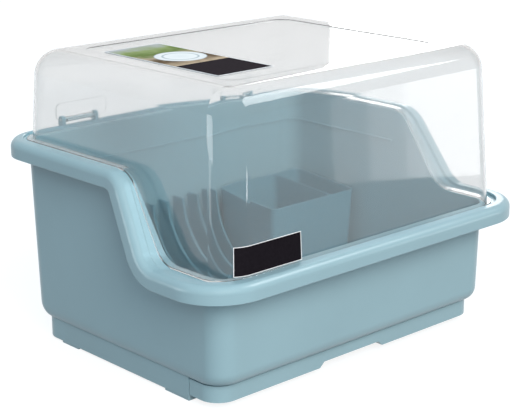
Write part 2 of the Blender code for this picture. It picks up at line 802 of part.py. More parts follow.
def tray_outline(inset):
    """The tray's front part, as wide as the base, with the front corners rounded."""
    half_width = BASE_WIDTH / 2 - inset
    return rounded_box(
        -half_width, half_width, TUB_Y - BASE_DEPTH / 2 + inset,
        TUB_Y + SKIRT_FRONT_END - TRAY_END_GAP - inset, BASE_CORNER - inset, 0,
    )


def pan_outline(inset):
    """The tray's pan, which slides between the arms of the skirt."""
    half_width = BASE_WIDTH / 2 - SKIRT_WALL - TRAY_SIDE_GAP - inset
    back = TUB_Y + BASE_DEPTH / 2 - SKIRT_WALL - TRAY_BACK_GAP - inset
    front = TUB_Y + SKIRT_FRONT_END - BASE_CORNER
    return rounded_box(-half_width, half_width, front, back, 0, BASE_CORNER - SKIRT_WALL - inset)


def notch_outline(grow, low):
    """The finger notch seen from the front, with slanted ends."""
    top = RAIL_TOP + TOUCH + NOTCH_HEIGHT + grow
    return [
        (NOTCH_LEFT - grow, low),
        (NOTCH_LEFT - grow + NOTCH_SLOPE, top),
        (NOTCH_RIGHT + grow - NOTCH_SLOPE, top),
        (NOTCH_RIGHT + grow, low),
    ]


def make_drip_tray(finish):
    bottom = RAIL_TOP + TOUCH
    top = FLOOR_UNDERSIDE - TRAY_TOP_GAP
    pan_top = top - TRAY_PAN_DROP
    floor = bottom + TRAY_WALL
    front = TUB_Y - BASE_DEPTH / 2
    tray = add_object("drip_tray", prism("drip_tray", tray_outline(0), bottom, top, "z"), finish)
    combine(tray, prism("pan", pan_outline(0), bottom, pan_top, "z"), "UNION")
    combine(tray, prism("hollow", tray_outline(TRAY_WALL), floor, top + CUT_OVERRUN, "z"), "DIFFERENCE")
    combine(tray, prism("hollow", pan_outline(TRAY_WALL), floor, top + CUT_OVERRUN, "z"), "DIFFERENCE")
    cover = prism(
        "cover", notch_outline(TRAY_WALL, bottom + TRAY_WALL / 2),
        front + TRAY_WALL / 2, front + NOTCH_DEPTH + TRAY_WALL, "y",
    )
    combine(tray, cover, "UNION")
    notch = prism(
        "notch", notch_outline(0, bottom - CUT_OVERRUN), front - CUT_OVERRUN, front + NOTCH_DEPTH, "y"
    )
    combine(tray, notch, "DIFFERENCE")
    smooth(tray)
    set_origin(tray, (0, front, bottom))


def inner_back(height):
    """Depth of the tub's inner face at the back, above the floor's fillet."""
    return TUB_Y + tub_half_sizes(height)[1] - TUB_WALL


def rib_outline():
    """A rib seen from the side: a high back, a round cradle for plates and a low front."""
    foot = RACK_PLATE_TOP + TOUCH
    start = acos((RIB_TOP - RIB_PLATE_CENTER_HEIGHT) / RIB_PLATE_RADIUS)
    end = -acos((RIB_FRONT_TOP - RIB_PLATE_CENTER_HEIGHT) / RIB_PLATE_RADIUS)
    outline = [
        (inner_back(RACK_PLATE_TOP) - RIB_BACK_GAP, foot),
        (inner_back(RIB_TOP) - RIB_BACK_GAP, RIB_TOP),
    ]
    sweep = FULL_TURN + end - start
    for i in range(PLATE_ARC_STEPS + 1):
        turn = start + sweep * i / PLATE_ARC_STEPS
        outline.append((
            TUB_BACK - RIB_PLATE_CENTER_FROM_BACK + RIB_PLATE_RADIUS * sin(turn),
            RIB_PLATE_CENTER_HEIGHT + RIB_PLATE_RADIUS * cos(turn),
        ))
    front = outline[-1][0] - RIB_FRONT_LENGTH
    outline.append((front, RIB_FRONT_TOP))
    outline.append((front - RIB_FRONT_SLOPE, foot))
    return outline


def rack_windows(back):
    """The openings between the bars of the rack's plate, one for each two ribs."""
    windows = []
    pitch_x = 2 * RIB_PITCH
    pitch_y = (back - RACK_FRONT - RACK_BAR_WIDTH) / RACK_WINDOW_ROWS
    for column in range((RIB_COUNT - 1) // 2):
        x = RIB_FIRST + column * pitch_x + RACK_BAR_WIDTH / 2
        for row in range(RACK_WINDOW_ROWS):
            y = RACK_FRONT + RACK_BAR_WIDTH + row * pitch_y
            low = (x, y, RACK_PLATE_UNDERSIDE - CUT_OVERRUN)
            high = (x + pitch_x - RACK_BAR_WIDTH, y + pitch_y - RACK_BAR_WIDTH, RACK_PLATE_TOP + CUT_OVERRUN)
            windows.append(box("window", low, high))
    return gather("windows", windows)


def rack_feet(back):
    feet_meshes = []
    inset = RACK_BAR_WIDTH / 2
    half = RACK_FOOT_SIZE / 2
    last = (RIB_COUNT - 1) // 2
    for column in (0, last // 2, last):
        x = RIB_FIRST + column * 2 * RIB_PITCH
        for y in (RACK_FRONT + inset + half, back - FLOOR_FILLET - half):
            low = (x - half, y - half, FLOOR_TOP + TOUCH)
            high = (x + half, y + half, RACK_PLATE_UNDERSIDE + RACK_PLATE_THICKNESS / 2)
            feet_meshes.append(box("rack_foot", low, high))
    return gather("rack_feet", feet_meshes)


def make_rack_base(finish):
    """The rack's plate of crossing bars, on its feet."""
    back = inner_back(RACK_PLATE_TOP) - FLOOR_FILLET / 2
    outline = rounded_box(RACK_LEFT, RACK_RIGHT, RACK_FRONT, back, 0, RACK_CORNER, SMALL_ARC_STEPS)
    plate = prism("rack_base", outline, RACK_PLATE_UNDERSIDE, RACK_PLATE_TOP, "z")
    rack = add_object("rack_base", plate, finish)
    combine(rack, rack_windows(back), "DIFFERENCE")
    combine(rack, rack_feet(back), "UNION")
    smooth(rack)
    set_origin(rack, ((RACK_LEFT + RACK_RIGHT) / 2, (RACK_FRONT + back) / 2, FLOOR_TOP + TOUCH))


def make_rack_ribs(finish):
    """Ribs that stand on the rack's plate and hold the dishes between them."""
    outline = rib_outline()
    middle = TUB_BACK - RIB_PLATE_CENTER_FROM_BACK
    for i in range(RIB_COUNT):
        x = RIB_FIRST + i * RIB_PITCH
        name = f"rack_rib_{i + 1}"
        mesh = prism(name, outline, x - RIB_THICKNESS / 2, x + RIB_THICKNESS / 2, "x")
        rib = add_object(name, mesh, finish)
        smooth(rib)
        set_origin(rib, (x, middle, RACK_PLATE_TOP + TOUCH))


def holder_outline(left, right, wall, left_draft, right_draft, draft):
    """The holder's outline inside a wall, drawn in at its left, its right, and its front and back."""
    radius = HOLDER_CORNER - wall
    return rounded_box(
        left + wall + left_draft, right - wall - right_draft,
        HOLDER_FRONT + wall + draft, HOLDER_BACK - wall - draft, radius, radius, steps=SMALL_ARC_STEPS,
    )


def holder_compartment(left, right, at_left, at_right, floor):
    """The hollow of one compartment, which narrows downward at the holder's outer walls only."""
    left_draft = at_left * HOLDER_DRAFT
    right_draft = at_right * HOLDER_DRAFT
    low = holder_outline(left, right, HOLDER_WALL, left_draft, right_draft, HOLDER_DRAFT)
    high = holder_outline(left, right, HOLDER_WALL, 0, 0, 0)
    top = HOLDER_BACK_TOP + CUT_OVERRUN
    return loft("compartment", [[(x, y, floor) for x, y in low], [(x, y, top) for x, y in high]])


def make_cutlery_holder(finish):
    bottom = FLOOR_TOP + TOUCH
    floor = bottom + HOLDER_WALL
    slope = (HOLDER_BACK_TOP - HOLDER_FRONT_TOP) / (HOLDER_BACK - HOLDER_FRONT)
    low = holder_outline(HOLDER_LEFT, HOLDER_RIGHT, 0, HOLDER_DRAFT, HOLDER_DRAFT, HOLDER_DRAFT)
    high = holder_outline(HOLDER_LEFT, HOLDER_RIGHT, 0, 0, 0, 0)
    shell = loft("cutlery_holder", [
        [(x, y, bottom) for x, y in low],
        [(x, y, HOLDER_FRONT_TOP + (y - HOLDER_FRONT) * slope) for x, y in high],
    ])
    holder = add_object("cutlery_holder", shell, finish)
    middle_y = (HOLDER_FRONT + HOLDER_BACK) / 2
    half_wall = HOLDER_WALL / 2
    compartments = (
        (HOLDER_LEFT, HOLDER_DIVIDER + half_wall, 1, 0),
        (HOLDER_DIVIDER - half_wall, HOLDER_RIGHT, 0, 1),
    )
    drains = []
    room_y = HOLDER_DEPTH - 2 * (HOLDER_WALL + HOLDER_DRAFT + HOLDER_DRAIN_MARGIN)
    for left, right, at_left, at_right in compartments:
        combine(holder, holder_compartment(left, right, at_left, at_right, floor), "DIFFERENCE")
        room_x = right - left - 2 * (HOLDER_WALL + HOLDER_DRAFT + HOLDER_DRAIN_MARGIN)
        for x in middles(room_x, HOLDER_DRAIN_PITCH):
            for y in middles(room_y, HOLDER_DRAIN_PITCH):
                outline = circle((left + right) / 2 + x, middle_y + y, HOLDER_DRAIN_RADIUS, HOLE_SIDES)
                drains.append(prism("drain", outline, bottom - CUT_OVERRUN, floor + CUT_OVERRUN, "z"))
    combine(holder, gather("drains", drains), "DIFFERENCE")
    smooth(holder)
    set_origin(holder, ((HOLDER_LEFT + HOLDER_RIGHT) / 2, middle_y, bottom))


def main():
    clear_scene()
    make_tub(material("tub_plastic", BLUE_PLASTIC, roughness=0.35))
    make_base_frame(material("base_plastic", BLUE_PLASTIC, roughness=0.35))
    make_drip_tray(material("tray_plastic", BLUE_PLASTIC, roughness=0.35))
    make_lid(material("clear_plastic", CLEAR_PLASTIC, roughness=0.05, alpha=0.3))
    make_hinge_pins(material("pin_plastic", CLEAR_PLASTIC, roughness=0.3))
    rack_plastic = material("rack_plastic", PALE_BLUE_PLASTIC, roughness=0.4)
    make_rack_base(rack_plastic)
    make_rack_ribs(rack_plastic)
    make_cutlery_holder(material("holder_plastic", PALE_BLUE_PLASTIC, roughness=0.4))
    make_lid_label(material("lid_label_print", DARK_LABEL, roughness=0.4))
    make_corner_label(material("corner_label_print", DARK_LABEL, roughness=0.3))


main()
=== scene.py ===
"""The looks of the dish drainer: finer pieces over its frame, their finish, light, floor and camera.
Metres, in the frame's own axes: +X to the right, the front facing -Y, +Z up."""

from collections import namedtuple
from math import acos, atan2, cos, pi, radians, sin, tan

import bmesh
import bpy
from mathutils import Matrix, Vector


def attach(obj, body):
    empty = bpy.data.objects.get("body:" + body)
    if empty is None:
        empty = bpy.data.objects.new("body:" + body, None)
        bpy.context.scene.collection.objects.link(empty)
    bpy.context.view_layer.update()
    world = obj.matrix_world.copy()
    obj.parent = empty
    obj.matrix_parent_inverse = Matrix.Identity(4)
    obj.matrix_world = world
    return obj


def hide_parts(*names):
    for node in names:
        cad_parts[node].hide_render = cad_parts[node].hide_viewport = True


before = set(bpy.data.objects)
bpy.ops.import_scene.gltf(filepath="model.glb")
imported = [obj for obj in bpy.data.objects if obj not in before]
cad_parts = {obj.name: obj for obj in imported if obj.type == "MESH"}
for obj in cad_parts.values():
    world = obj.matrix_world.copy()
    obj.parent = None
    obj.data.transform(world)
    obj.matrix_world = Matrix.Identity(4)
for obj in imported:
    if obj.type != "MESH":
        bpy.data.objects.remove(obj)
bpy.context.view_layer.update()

MM = 0.001
FULL_TURN = 2 * pi
QUARTER_TURN = pi / 2

# Camera, fitted to the photograph
CAMERA_PLACE = (-1.1113, -1.2058, 0.6332)
CAMERA_YAW = radians(42.497)
CAMERA_PITCH = radians(16.455)
CAMERA_ROLL = radians(-0.353)
CAMERA_LENS = 99.66
SENSOR_WIDTH = 36

# Light: a soft key from the front, a sky that is brighter overhead, and softboxes for the highlights
SUN_FROM = (-0.22, -0.78, 0.55)
SUN_STRENGTH = 2.55
SUN_COLOR = (1, 0.925, 0.85)
SUN_ANGLE = radians(40)
SKY_COLOR = (0.78, 1.0, 1.12, 1)
SKY_AT_HORIZON = 0.22
SKY_OVERHEAD = 0.77
WHITE = (1, 1, 1, 1)

# Softboxes: place, the point that they face, width, height, brightness, and what they are for: "light" on
# the surfaces, "shine" for a highlight alone, or "both"
SOFTBOXES = {
    "glow": ((0.9, -0.95, 1.4), (0, -0.1, 0.2), 0.9, 0.65, 7.2, "shine"),
    "back": ((1.62, 1.12, 1.0), (-0.4, -0.5, 0.2), 0.55, 0.85, 5.5, "both"),
    "fill": ((-0.7, -0.75, 0.4), (-0.15, -0.1, 0.15), 0.5, 0.5, 2.5, "light"),
    "right": ((0.875, -0.803, 0.16), (0, -0.17, 0.2), 0.181, 0.3, 3.6, "shine"),
    "right_fade": ((0.793, -0.896, 0.16), (0, -0.17, 0.2), 0.068, 0.3, 2.4, "shine"),
    "right_end": ((0.746, -0.945, 0.16), (0, -0.17, 0.2), 0.068, 0.3, 1.2, "shine"),
    "left_strip": ((-1.066, 0.36, 0.24), (-0.2, -0.14, 0.3), 0.5, 0.24, 4.5, "shine"),
    "left_fade": ((-1.066, 0.36, 0.06), (-0.2, -0.14, 0.28), 0.2, 0.12, 2, "shine"),
    "front_strip": ((0.357, -1.332, 0.03), (-0.18, -0.17, 0.24), 0.13, 0.058, 9, "shine"),
}

# Floor
FLOOR_SIZE = 14
FLOOR_COLOR = (0.19, 0.22, 0.24, 1)
FLOOR_LIFT = 0.87

# Plastics and inks: colour and roughness
BLUE_PLASTIC = ((0.266, 0.41, 0.468), 0.3)
# The insert's colour is the tub's blue, darkened and made bluer: painted shade for the rack and the holder
# inside the tub
INSERT_PLASTIC_WITH_PAINTED_SHADE = ((0.125, 0.27, 0.335), 0.38)
PIN_PLASTIC = ((0.75, 0.77, 0.78), 0.4)
WHITE_INK = ((0.85, 0.85, 0.87), 0.35)
BROWN_INK = ((0.035, 0.028, 0.032), 0.35)
BLACK_INK = ((0.012, 0.01, 0.013), 0.3)
PLASTIC_IOR = 1.49

# Finishes: how far the colour and the roughness vary and at which scales of noise, and a grain's scale,
# strength and depth
MOULDED = {
    "tint": 0.025, "tint_scale": 11, "gloss": 0.012, "gloss_scale": 40, "gloss_detail": 4,
    "grain": (1800, 0.05, 0.04 * MM), "inputs": {"IOR": PLASTIC_IOR},
}
PRINTED = {
    "tint": 0.1, "tint_scale": 300, "gloss": 0.04, "gloss_scale": 120, "gloss_detail": 2,
    "grain": (900, 0.08, 0.03 * MM), "inputs": {"Specular IOR Level": 0},
}
NOISE_RANGE = (0.3, 0.7)
NOISE_DETAIL = 3
GRAIN_DETAIL = 2

# Clear plastic: its colour face-on and edge-on, how it turns from one to the other, its shadow's colour
# and its haze
CLEAR = (0.875, 0.862, 0.856, 1)
CLEAR_EDGE = (0.54, 0.54, 0.545, 1)
CLEAR_EDGE_BLEND = 0.35
CLEAR_EDGE_POWER = 2
CLEAR_SHADOW = (0.85, 0.95, 0.985, 1)
CLEAR_TRANSMISSION = 0.97
CLEAR_ROUGHNESS = (0.03, 0.06)
CLEAR_ROUGHNESS_SCALE = 30
CLEAR_GRAIN = (60, 0.05, 0.4 * MM)

# Clearances
TOUCH = 0.3 * MM
RUNNING = 0.4 * MM
OVERRUN = 2 * MM
MERGE_DISTANCE = 0.004 * MM

# Tub, measured outside at the level of the high rim
TUB_WIDTH = 436 * MM
TUB_DEPTH = 348 * MM
TUB_CORNER = 26 * MM
TUB_WALL = 2.5 * MM
TUB_DRAFT_SHARE = 0.018
FLOOR_UNDERSIDE = 28.5 * MM
BOTTOM_ROUNDING = 16 * MM

# Rim: level at the back, an S down each side, level and lower at the front
RIM_HIGH = 244 * MM
RIM_LOW = 155 * MM
RIM_HIGH_REACH = 22 * MM
RIM_LOW_REACH = 35 * MM
RIM_FRONT_REACH = 31.5 * MM
RIM_BACK_REACH = 18.5 * MM
RIM_SKIRT = 20.5 * MM
RIM_THICKNESS = 2.6 * MM
RIM_ROUNDING = 9 * MM
RIM_FLAT_SHARE = 0.25
RIM_FALL = 0.35 * MM
RIDGE_TO_EDGE_SIDE = 14 * MM
RIDGE_TO_EDGE_FRONT = 14 * MM
RIDGE_TO_EDGE_BACK = 7 * MM
RIDGE_WIDTH = 3.5 * MM
RIDGE_ROUNDING = 1.5 * MM
SEAT_DROP = 4 * MM
SEAT_ROUNDING = 1 * MM
SKIRT_EDGE_ROUNDING = 1 * MM

# The S of the rim, from the middle of the tub's depth to where its slope would meet each level
S_TOP = -36 * MM
S_BOTTOM = -93 * MM
S_TOP_BEND = 36 * MM
S_BOTTOM_BEND = 30 * MM

# Ledge round the inside of the high wall, which starts behind the S
LEDGE_HEIGHT = 199 * MM
LEDGE_WIDTH = 1.4 * MM
LEDGE_THICKNESS = 2 * MM
LEDGE_BEHIND_S = 24 * MM

# Drain slots
DRAIN_LENGTH = 38 * MM
DRAIN_WIDTH = 3.6 * MM
DRAIN_ROUNDING_SHARE = 1 / 2.01
DRAIN_PITCH_X = 54 * MM
DRAIN_PITCH_Y = 50 * MM
DRAIN_MARGIN = 18 * MM

# Base frame
BASE_SIDE_INSET = 9 * MM
BASE_END_INSET = 16 * MM
BASE_CORNER = 25 * MM
SKIRT_WALL = 2.5 * MM
SKIRT_BOTTOM = 2.4 * MM
SKIRT_SETBACK = 45 * MM
FOOT_INSET = 0.5 * MM
FOOT_WIDTH = 12 * MM
FOOT_THICKNESS = 6 * MM
FRONT_FOOT_LENGTH = 41 * MM
REAR_FOOT_LENGTH = 32 * MM
REAR_FOOT_FROM_BACK = 37 * MM
RAIL_WIDTH = 8 * MM
RAIL_THICKNESS = 2.5 * MM
RAIL_TOP = 7.5 * MM
RAIL_SETBACK = 2 * MM
RAIL_FROM_BACK = 30 * MM

# Drip tray
TRAY_WALL = 2.2 * MM
TRAY_TOP_GAP = 1.7 * MM
TRAY_END_GAP = 1.5 * MM
TRAY_SIDE_GAP = 1.5 * MM
TRAY_BACK_GAP = 4 * MM
TRAY_PAN_DROP = 1.8 * MM
NOTCH_LEFT = -58 * MM
NOTCH_RIGHT = 48 * MM
NOTCH_HEIGHT = 6 * MM
NOTCH_DEPTH = 16 * MM
NOTCH_SLOPE = 9 * MM

# Lid, measured outside at its top
LID_SIDE_INSET = 13 * MM
LID_END_REACH = 1.5 * MM
LID_TOP = 344 * MM
LID_CORNER = 31 * MM
LID_WALL = 2 * MM
LID_DRAFT_SHARE = 0.0534
LID_TOP_ROUNDING = 28 * MM
LID_FOOT_THICKNESS = 2.2 * MM
LID_FOOT_SIDE = 9 * MM
LID_FOOT_FRONT = 0.8 * MM
LID_FOOT_BACK = 0.5 * MM
PANEL_INSET = 45 * MM
PANEL_CORNER = 20 * MM
PANEL_STEP = 1.2 * MM
PANEL_RUN = 3.5 * MM
PANEL_ROUNDING = 3 * MM

# Hinges at the back of the lid
HINGE_FROM_SIDE = 80 * MM
HINGE_AXIS_BEHIND_TUB = 13 * MM
HINGE_AXIS_ABOVE_RIM = 6 * MM
HINGE_KNUCKLE_LENGTH = 42 * MM
HINGE_KNUCKLE_RADIUS = 3.6 * MM
HINGE_PIN_RADIUS = 2 * MM
HINGE_EAR_THICKNESS = 5 * MM
HINGE_EAR_RADIUS = 4.8 * MM
HINGE_WEB_THICKNESS = 2.4 * MM
HINGE_PAD_WIDTH = 73 * MM
HINGE_PAD_HEIGHT = 20.5 * MM
HINGE_PAD_THICKNESS = 1 * MM
HINGE_PAD_CORNER = 6 * MM
HINGE_PAD_ABOVE_AXIS = 1.5 * MM

# Plate rack, placed from the tub's left side and its back
RIB_PITCH = 24 * MM
RIB_COUNT = 11
RIB_FROM_SIDE = 26 * MM
RIB_THICKNESS = 3.2 * MM
RIB_TOP = 132 * MM
RIB_PLATE_RADIUS = 93 * MM
RIB_PLATE_CENTER_FROM_BACK = 124 * MM
RIB_PLATE_CENTER_HEIGHT = 140 * MM
RIB_FRONT_TOP = 70 * MM
RIB_FRONT_LENGTH = 14 * MM
RIB_FRONT_SLOPE = 8 * MM
RIB_BACK_GAP = 7.5 * MM
RACK_MARGIN = 7 * MM
RACK_FRONT_FROM_BACK = 218.5 * MM
RACK_PLATE_UNDERSIDE = 36 * MM
RACK_PLATE_THICKNESS = 4 * MM
RACK_CORNER = 14 * MM
RACK_BAR_WIDTH = 6 * MM
RACK_WINDOW_ROWS = 5
RACK_FOOT_SIZE = 7 * MM

# Cutlery holder, between the rack and the tub's right side
HOLDER_FROM_RACK = 3 * MM
HOLDER_FROM_SIDE = 15 * MM
HOLDER_FROM_BACK = 26.5 * MM
HOLDER_DEPTH = 108 * MM
HOLDER_FRONT_TOP = 126 * MM
HOLDER_BACK_TOP = 134 * MM
HOLDER_DRAFT = 5 * MM
HOLDER_WALL = 2 * MM
HOLDER_CORNER = 8 * MM
HOLDER_NARROW_WIDTH = 44 * MM
HOLDER_DRAIN_RADIUS = 1.8 * MM
HOLDER_DRAIN_PITCH = 16 * MM
HOLDER_DRAIN_MARGIN = 3 * MM

# Labels: the lid's lies in its panel, and the other round the lid's front left corner
LABEL_THICKNESS = 0.4 * MM
LABEL_BORDER = 1.2 * MM
CORNER_LABEL_BORDER = 0.7 * MM
LID_LABEL_WIDTH = 79 * MM
LID_LABEL_SIDE_MARGIN = 9.8 * MM
LID_LABEL_FRONT_MARGIN = 30.3 * MM
LID_LABEL_BACK_MARGIN = 31.3 * MM
LID_LABEL_BAND = 71 * MM
CORNER_LABEL_REACH = 93 * MM
CORNER_LABEL_BOTTOM = 155.5 * MM
CORNER_LABEL_TOP = 186.5 * MM
CORNER_LABEL_START_SHARE = 0.6

# Picture on the lid's label: a plate on a table with green behind it, as stops of a share and a colour
PICTURE_FRONT = -20 * MM
PICTURE_BACK = 104 * MM
PICTURE_WAVER = 12 * MM
PICTURE_WAVER_SCALE = 45
PICTURE_WAVER_DETAIL = 4
PICTURE_ROUGHNESS = (0.3, 0.38)
PICTURE_TABLE = (
    (0, (0.55, 0.42, 0.3, 1)), (0.25, (0.12, 0.08, 0.05, 1)), (0.45, (0.5, 0.4, 0.3, 1)),
    (0.62, (0.16, 0.22, 0.07, 1)), (0.8, (0.3, 0.36, 0.16, 1)), (1, (0.5, 0.5, 0.52, 1)),
)
PLATE_X = -105 * MM
PLATE_Y = 22 * MM
PLATE_RADIUS = 30 * MM
PICTURE_PLATE = (
    (0, (0.8, 0.82, 0.84, 1)), (0.6, (0.86, 0.87, 0.88, 1)), (0.68, (0.45, 0.5, 0.54, 1)),
    (0.74, (0.85, 0.86, 0.87, 1)), (0.95, (0.8, 0.81, 0.83, 1)), (1, (0.35, 0.38, 0.4, 1)),
)

# Rounding of the edges
BASE_EDGE = 0.8 * MM
RAIL_EDGE = 0.4 * MM
LEDGE_EDGE = 0.5 * MM
EAR_EDGE = 0.625 * MM
TRAY_EDGE = 0.7 * MM
PIN_CHAMFER = 0.5 * MM
RIB_EDGE = 1 * MM
RACK_EDGE = 0.8 * MM
HOLDER_EDGE = 0.7 * MM
LID_FOOT_EDGE = 0.55 * MM
EDGE_SEGMENTS = 2
RIB_SEGMENTS = 3
SHARP_DEGREES = 40
SHARP_PIECE_DEGREES = 50

# Facets of the finer surfaces
ARC_STEPS = 16
BEND_STEPS = 12
ROUNDING_STEPS = 9
FILLET_STEPS = 3
DRAIN_END_STEPS = 5
PAD_CORNER_STEPS = 6
HOLDER_CORNER_STEPS = 8
ROUND_SIDES = 48
HOLE_SIDES = 24
SMOOTH_DEGREES = 32
ROUNDING_TURNS = [QUARTER_TURN * i / ROUNDING_STEPS for i in range(ROUNDING_STEPS + 1)]

# Places worked out from the sizes above
TUB_Y = (RIM_FRONT_REACH - RIM_BACK_REACH) / 2
TUB_BACK = TUB_Y + TUB_DEPTH / 2
FLOOR_TOP = FLOOR_UNDERSIDE + TUB_WALL
FLOOR_FILLET = BOTTOM_ROUNDING - TUB_WALL
S_SLOPE = atan2(RIM_HIGH - RIM_LOW, S_TOP - S_BOTTOM)
BASE_WIDTH = TUB_WIDTH - 2 * BASE_SIDE_INSET
BASE_DEPTH = TUB_DEPTH - 2 * BASE_END_INSET
BASE_FRONT = TUB_Y - BASE_DEPTH / 2
BASE_BACK = TUB_Y + BASE_DEPTH / 2
SKIRT_FRONT_END = SKIRT_SETBACK - BASE_DEPTH / 2
LID_WIDTH = TUB_WIDTH - 2 * LID_SIDE_INSET
LID_DEPTH = TUB_DEPTH + 2 * LID_END_REACH
HINGE_X = LID_WIDTH / 2 - HINGE_FROM_SIDE
HINGE_Y = TUB_BACK + HINGE_AXIS_BEHIND_TUB
HINGE_Z = RIM_HIGH + HINGE_AXIS_ABOVE_RIM
HINGE_EARS_REACH = RUNNING + HINGE_EAR_THICKNESS
RIB_FIRST = RIB_FROM_SIDE - TUB_WIDTH / 2
RACK_PLATE_TOP = RACK_PLATE_UNDERSIDE + RACK_PLATE_THICKNESS
RACK_LEFT = RIB_FIRST - RACK_MARGIN
RACK_RIGHT = RIB_FIRST + (RIB_COUNT - 1) * RIB_PITCH + RACK_MARGIN
RACK_FRONT = TUB_BACK - RACK_FRONT_FROM_BACK
HOLDER_LEFT = RACK_RIGHT + HOLDER_FROM_RACK
HOLDER_RIGHT = TUB_WIDTH / 2 - HOLDER_FROM_SIDE
HOLDER_BACK = TUB_BACK - HOLDER_FROM_BACK
HOLDER_FRONT = HOLDER_BACK - HOLDER_DEPTH
HOLDER_DIVIDER = HOLDER_RIGHT - HOLDER_NARROW_WIDTH
LID_LABEL_UNDERSIDE = LID_TOP - PANEL_STEP + TOUCH


# Meshes


def add_object(name, mesh):
    obj = bpy.data.objects.new(name, mesh)
    bpy.context.scene.collection.objects.link(obj)
    return obj


def reshape(mesh, change):
    """Lets a function change a mesh in place."""
    shape = bmesh.new()
    shape.from_mesh(mesh)
    change(shape)
    shape.to_mesh(mesh)
    shape.free()
    return mesh


def mesh_from(points, faces):
    """A closed mesh with its faces pointing out."""
    mesh = bpy.data.meshes.new("mesh")
    mesh.from_pydata(points, [], faces)
    return reshape(mesh, lambda shape: bmesh.ops.recalc_face_normals(shape, faces=shape.faces))


def loft(rings):
    """A solid through rings of as many points each, capped at both ends."""
    count = len(rings[0])
    last = (len(rings) - 1) * count
    faces = []
    for start in range(0, last, count):
        for j in range(count):
            k = (j + 1) % count
            faces.append((start + j, start + k, start + count + k, start + count + j))
    faces += [tuple(range(count)), tuple(range(last, last + count))]
    return mesh_from([point for ring in rings for point in ring], faces)


def prism(outline, low, high, axis="z"):
    """An outline of two coordinates, in alphabetical order, extruded along the third one."""
    at = "xyz".index(axis)
    return loft([[(*point[:at], level, *point[at:]) for point in outline] for level in (low, high)])


def box(low, high):
    outline = [(low[0], low[1]), (high[0], low[1]), (high[0], high[1]), (low[0], high[1])]
    return prism(outline, low[2], high[2])


def circle(y, z, radius, sides=ROUND_SIDES):
    turns = [FULL_TURN * i / sides for i in range(sides)]
    return [(y + radius * cos(turn), z + radius * sin(turn)) for turn in turns]


def rounded_box(left, right, low, high, low_radius, high_radius, steps=ARC_STEPS):
    """A rectangle whose corners have one radius at its low edge and another at its high edge."""
    corners = (
        (right, high, high_radius), (left, high, high_radius),
        (left, low, low_radius), (right, low, low_radius),
    )
    outline = []
    for quarter, (a, b, radius) in enumerate(corners):
        center_a = a - radius if a == right else a + radius
        center_b = b - radius if b == high else b + radius
        for i in range(steps + 1 if radius else 1):
            angle = (quarter + i / steps) * QUARTER_TURN
            outline.append((center_a + radius * cos(angle), center_b + radius * sin(angle)))
    return outline


def rounded_path(points, *radii):
    """The arcs that round the corners of a path between its two ends."""
    points = [Vector(point) for point in points]
    path = []
    for before, corner, after, radius in zip(points, points[1:], points[2:], radii):
        to_before = (before - corner).normalized()
        to_after = (after - corner).normalized()
        half = to_before.angle(to_after) / 2
        center = corner + (to_before + to_after).normalized() * radius / sin(half)
        start = corner + to_before * radius / tan(half) - center
        end = corner + to_after * radius / tan(half) - center
        sweep = start.angle(end)
        for i in range(FILLET_STEPS + 1):
            share = i / FILLET_STEPS
            point = (start * sin((1 - share) * sweep) + end * sin(share * sweep)) / sin(sweep)
            path.append(tuple(center + point))
    return path


def bevelled(mesh, width, segments=EDGE_SEGMENTS):
    """Rounds a mesh's sharp edges."""
    def bevel(shape):
        edges = [edge for edge in shape.edges if edge.calc_face_angle(0) > radians(SHARP_DEGREES)]
        bmesh.ops.bevel(shape, geom=edges, offset=width, segments=segments, profile=0.5, affect="EDGES")

    return reshape(mesh, bevel)


def apply_modifiers(obj):
    bpy.context.view_layer.update()
    evaluated = obj.evaluated_get(bpy.context.evaluated_depsgraph_get())
    result = bpy.data.meshes.new_from_object(evaluated)
    obj.modifiers.clear()
    obj.data = result


def combine(obj, operation, *meshes):
    """Applies a Boolean of meshes that are clear of each other, and merges corners that all but meet."""
    def gather(shape):
        for mesh in meshes:
            shape.from_mesh(mesh)
            bpy.data.meshes.remove(mesh)

    tool = add_object("tool", reshape(bpy.data.meshes.new("tool"), gather))
    modifier = obj.modifiers.new(operation, "BOOLEAN")
    modifier.operation = operation
    modifier.solver = "EXACT"
    modifier.object = tool
    apply_modifiers(obj)
    bpy.data.objects.remove(tool)
    reshape(obj.data, lambda shape: bmesh.ops.remove_doubles(shape, verts=shape.verts, dist=MERGE_DISTANCE))


def rounded(obj, width):
    """Rounds a piece's sharp edges."""
    bevel = obj.modifiers.new("rounding", "BEVEL")
    bevel.width = width
    bevel.segments = EDGE_SEGMENTS
    bevel.limit_method = "ANGLE"
    bevel.angle_limit = radians(SHARP_PIECE_DEGREES)
    apply_modifiers(obj)


def middles(room, pitch):
    """Places a pitch apart, centred on zero, whose cells fit in the given room."""
    count = int(room / pitch)
    return [(i - (count - 1) / 2) * pitch for i in range(count)]


def smooth(obj):
    """Shades a piece smooth up to its sharp edges, with its large faces kept flat."""
    obj.data.shade_smooth()
    obj.data.set_sharp_from_angle(angle=radians(SMOOTH_DEGREES))
    weighted = obj.modifiers.new("weighted", "WEIGHTED_NORMAL")
    weighted.keep_sharp = True
    return obj


def finish_piece(obj, body, nodes, slot, *materials):
    """Gives a piece its materials, and lets it ride in place of its CAD nodes."""
    obj.data.materials.clear()
    for material in materials:
        obj.data.materials.append(material)
    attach(obj, body)
    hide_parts(*nodes)


# Stations go once round a rounded rectangle whose middle is the tub's. Along the sides they follow the
# S of the rim, so that the tub and the lid share them. The end is -1 at the front, 1 at the back and 0 on a
# side. The place is a share of the straight end, 1 at a corner, or a depth on a side. The angle is a
# corner's, the height and the slope are those of the rim's crest, and the mirror is -1 on the left.

Station = namedtuple("Station", "end place angle height slope mirror", defaults=(0, 1))


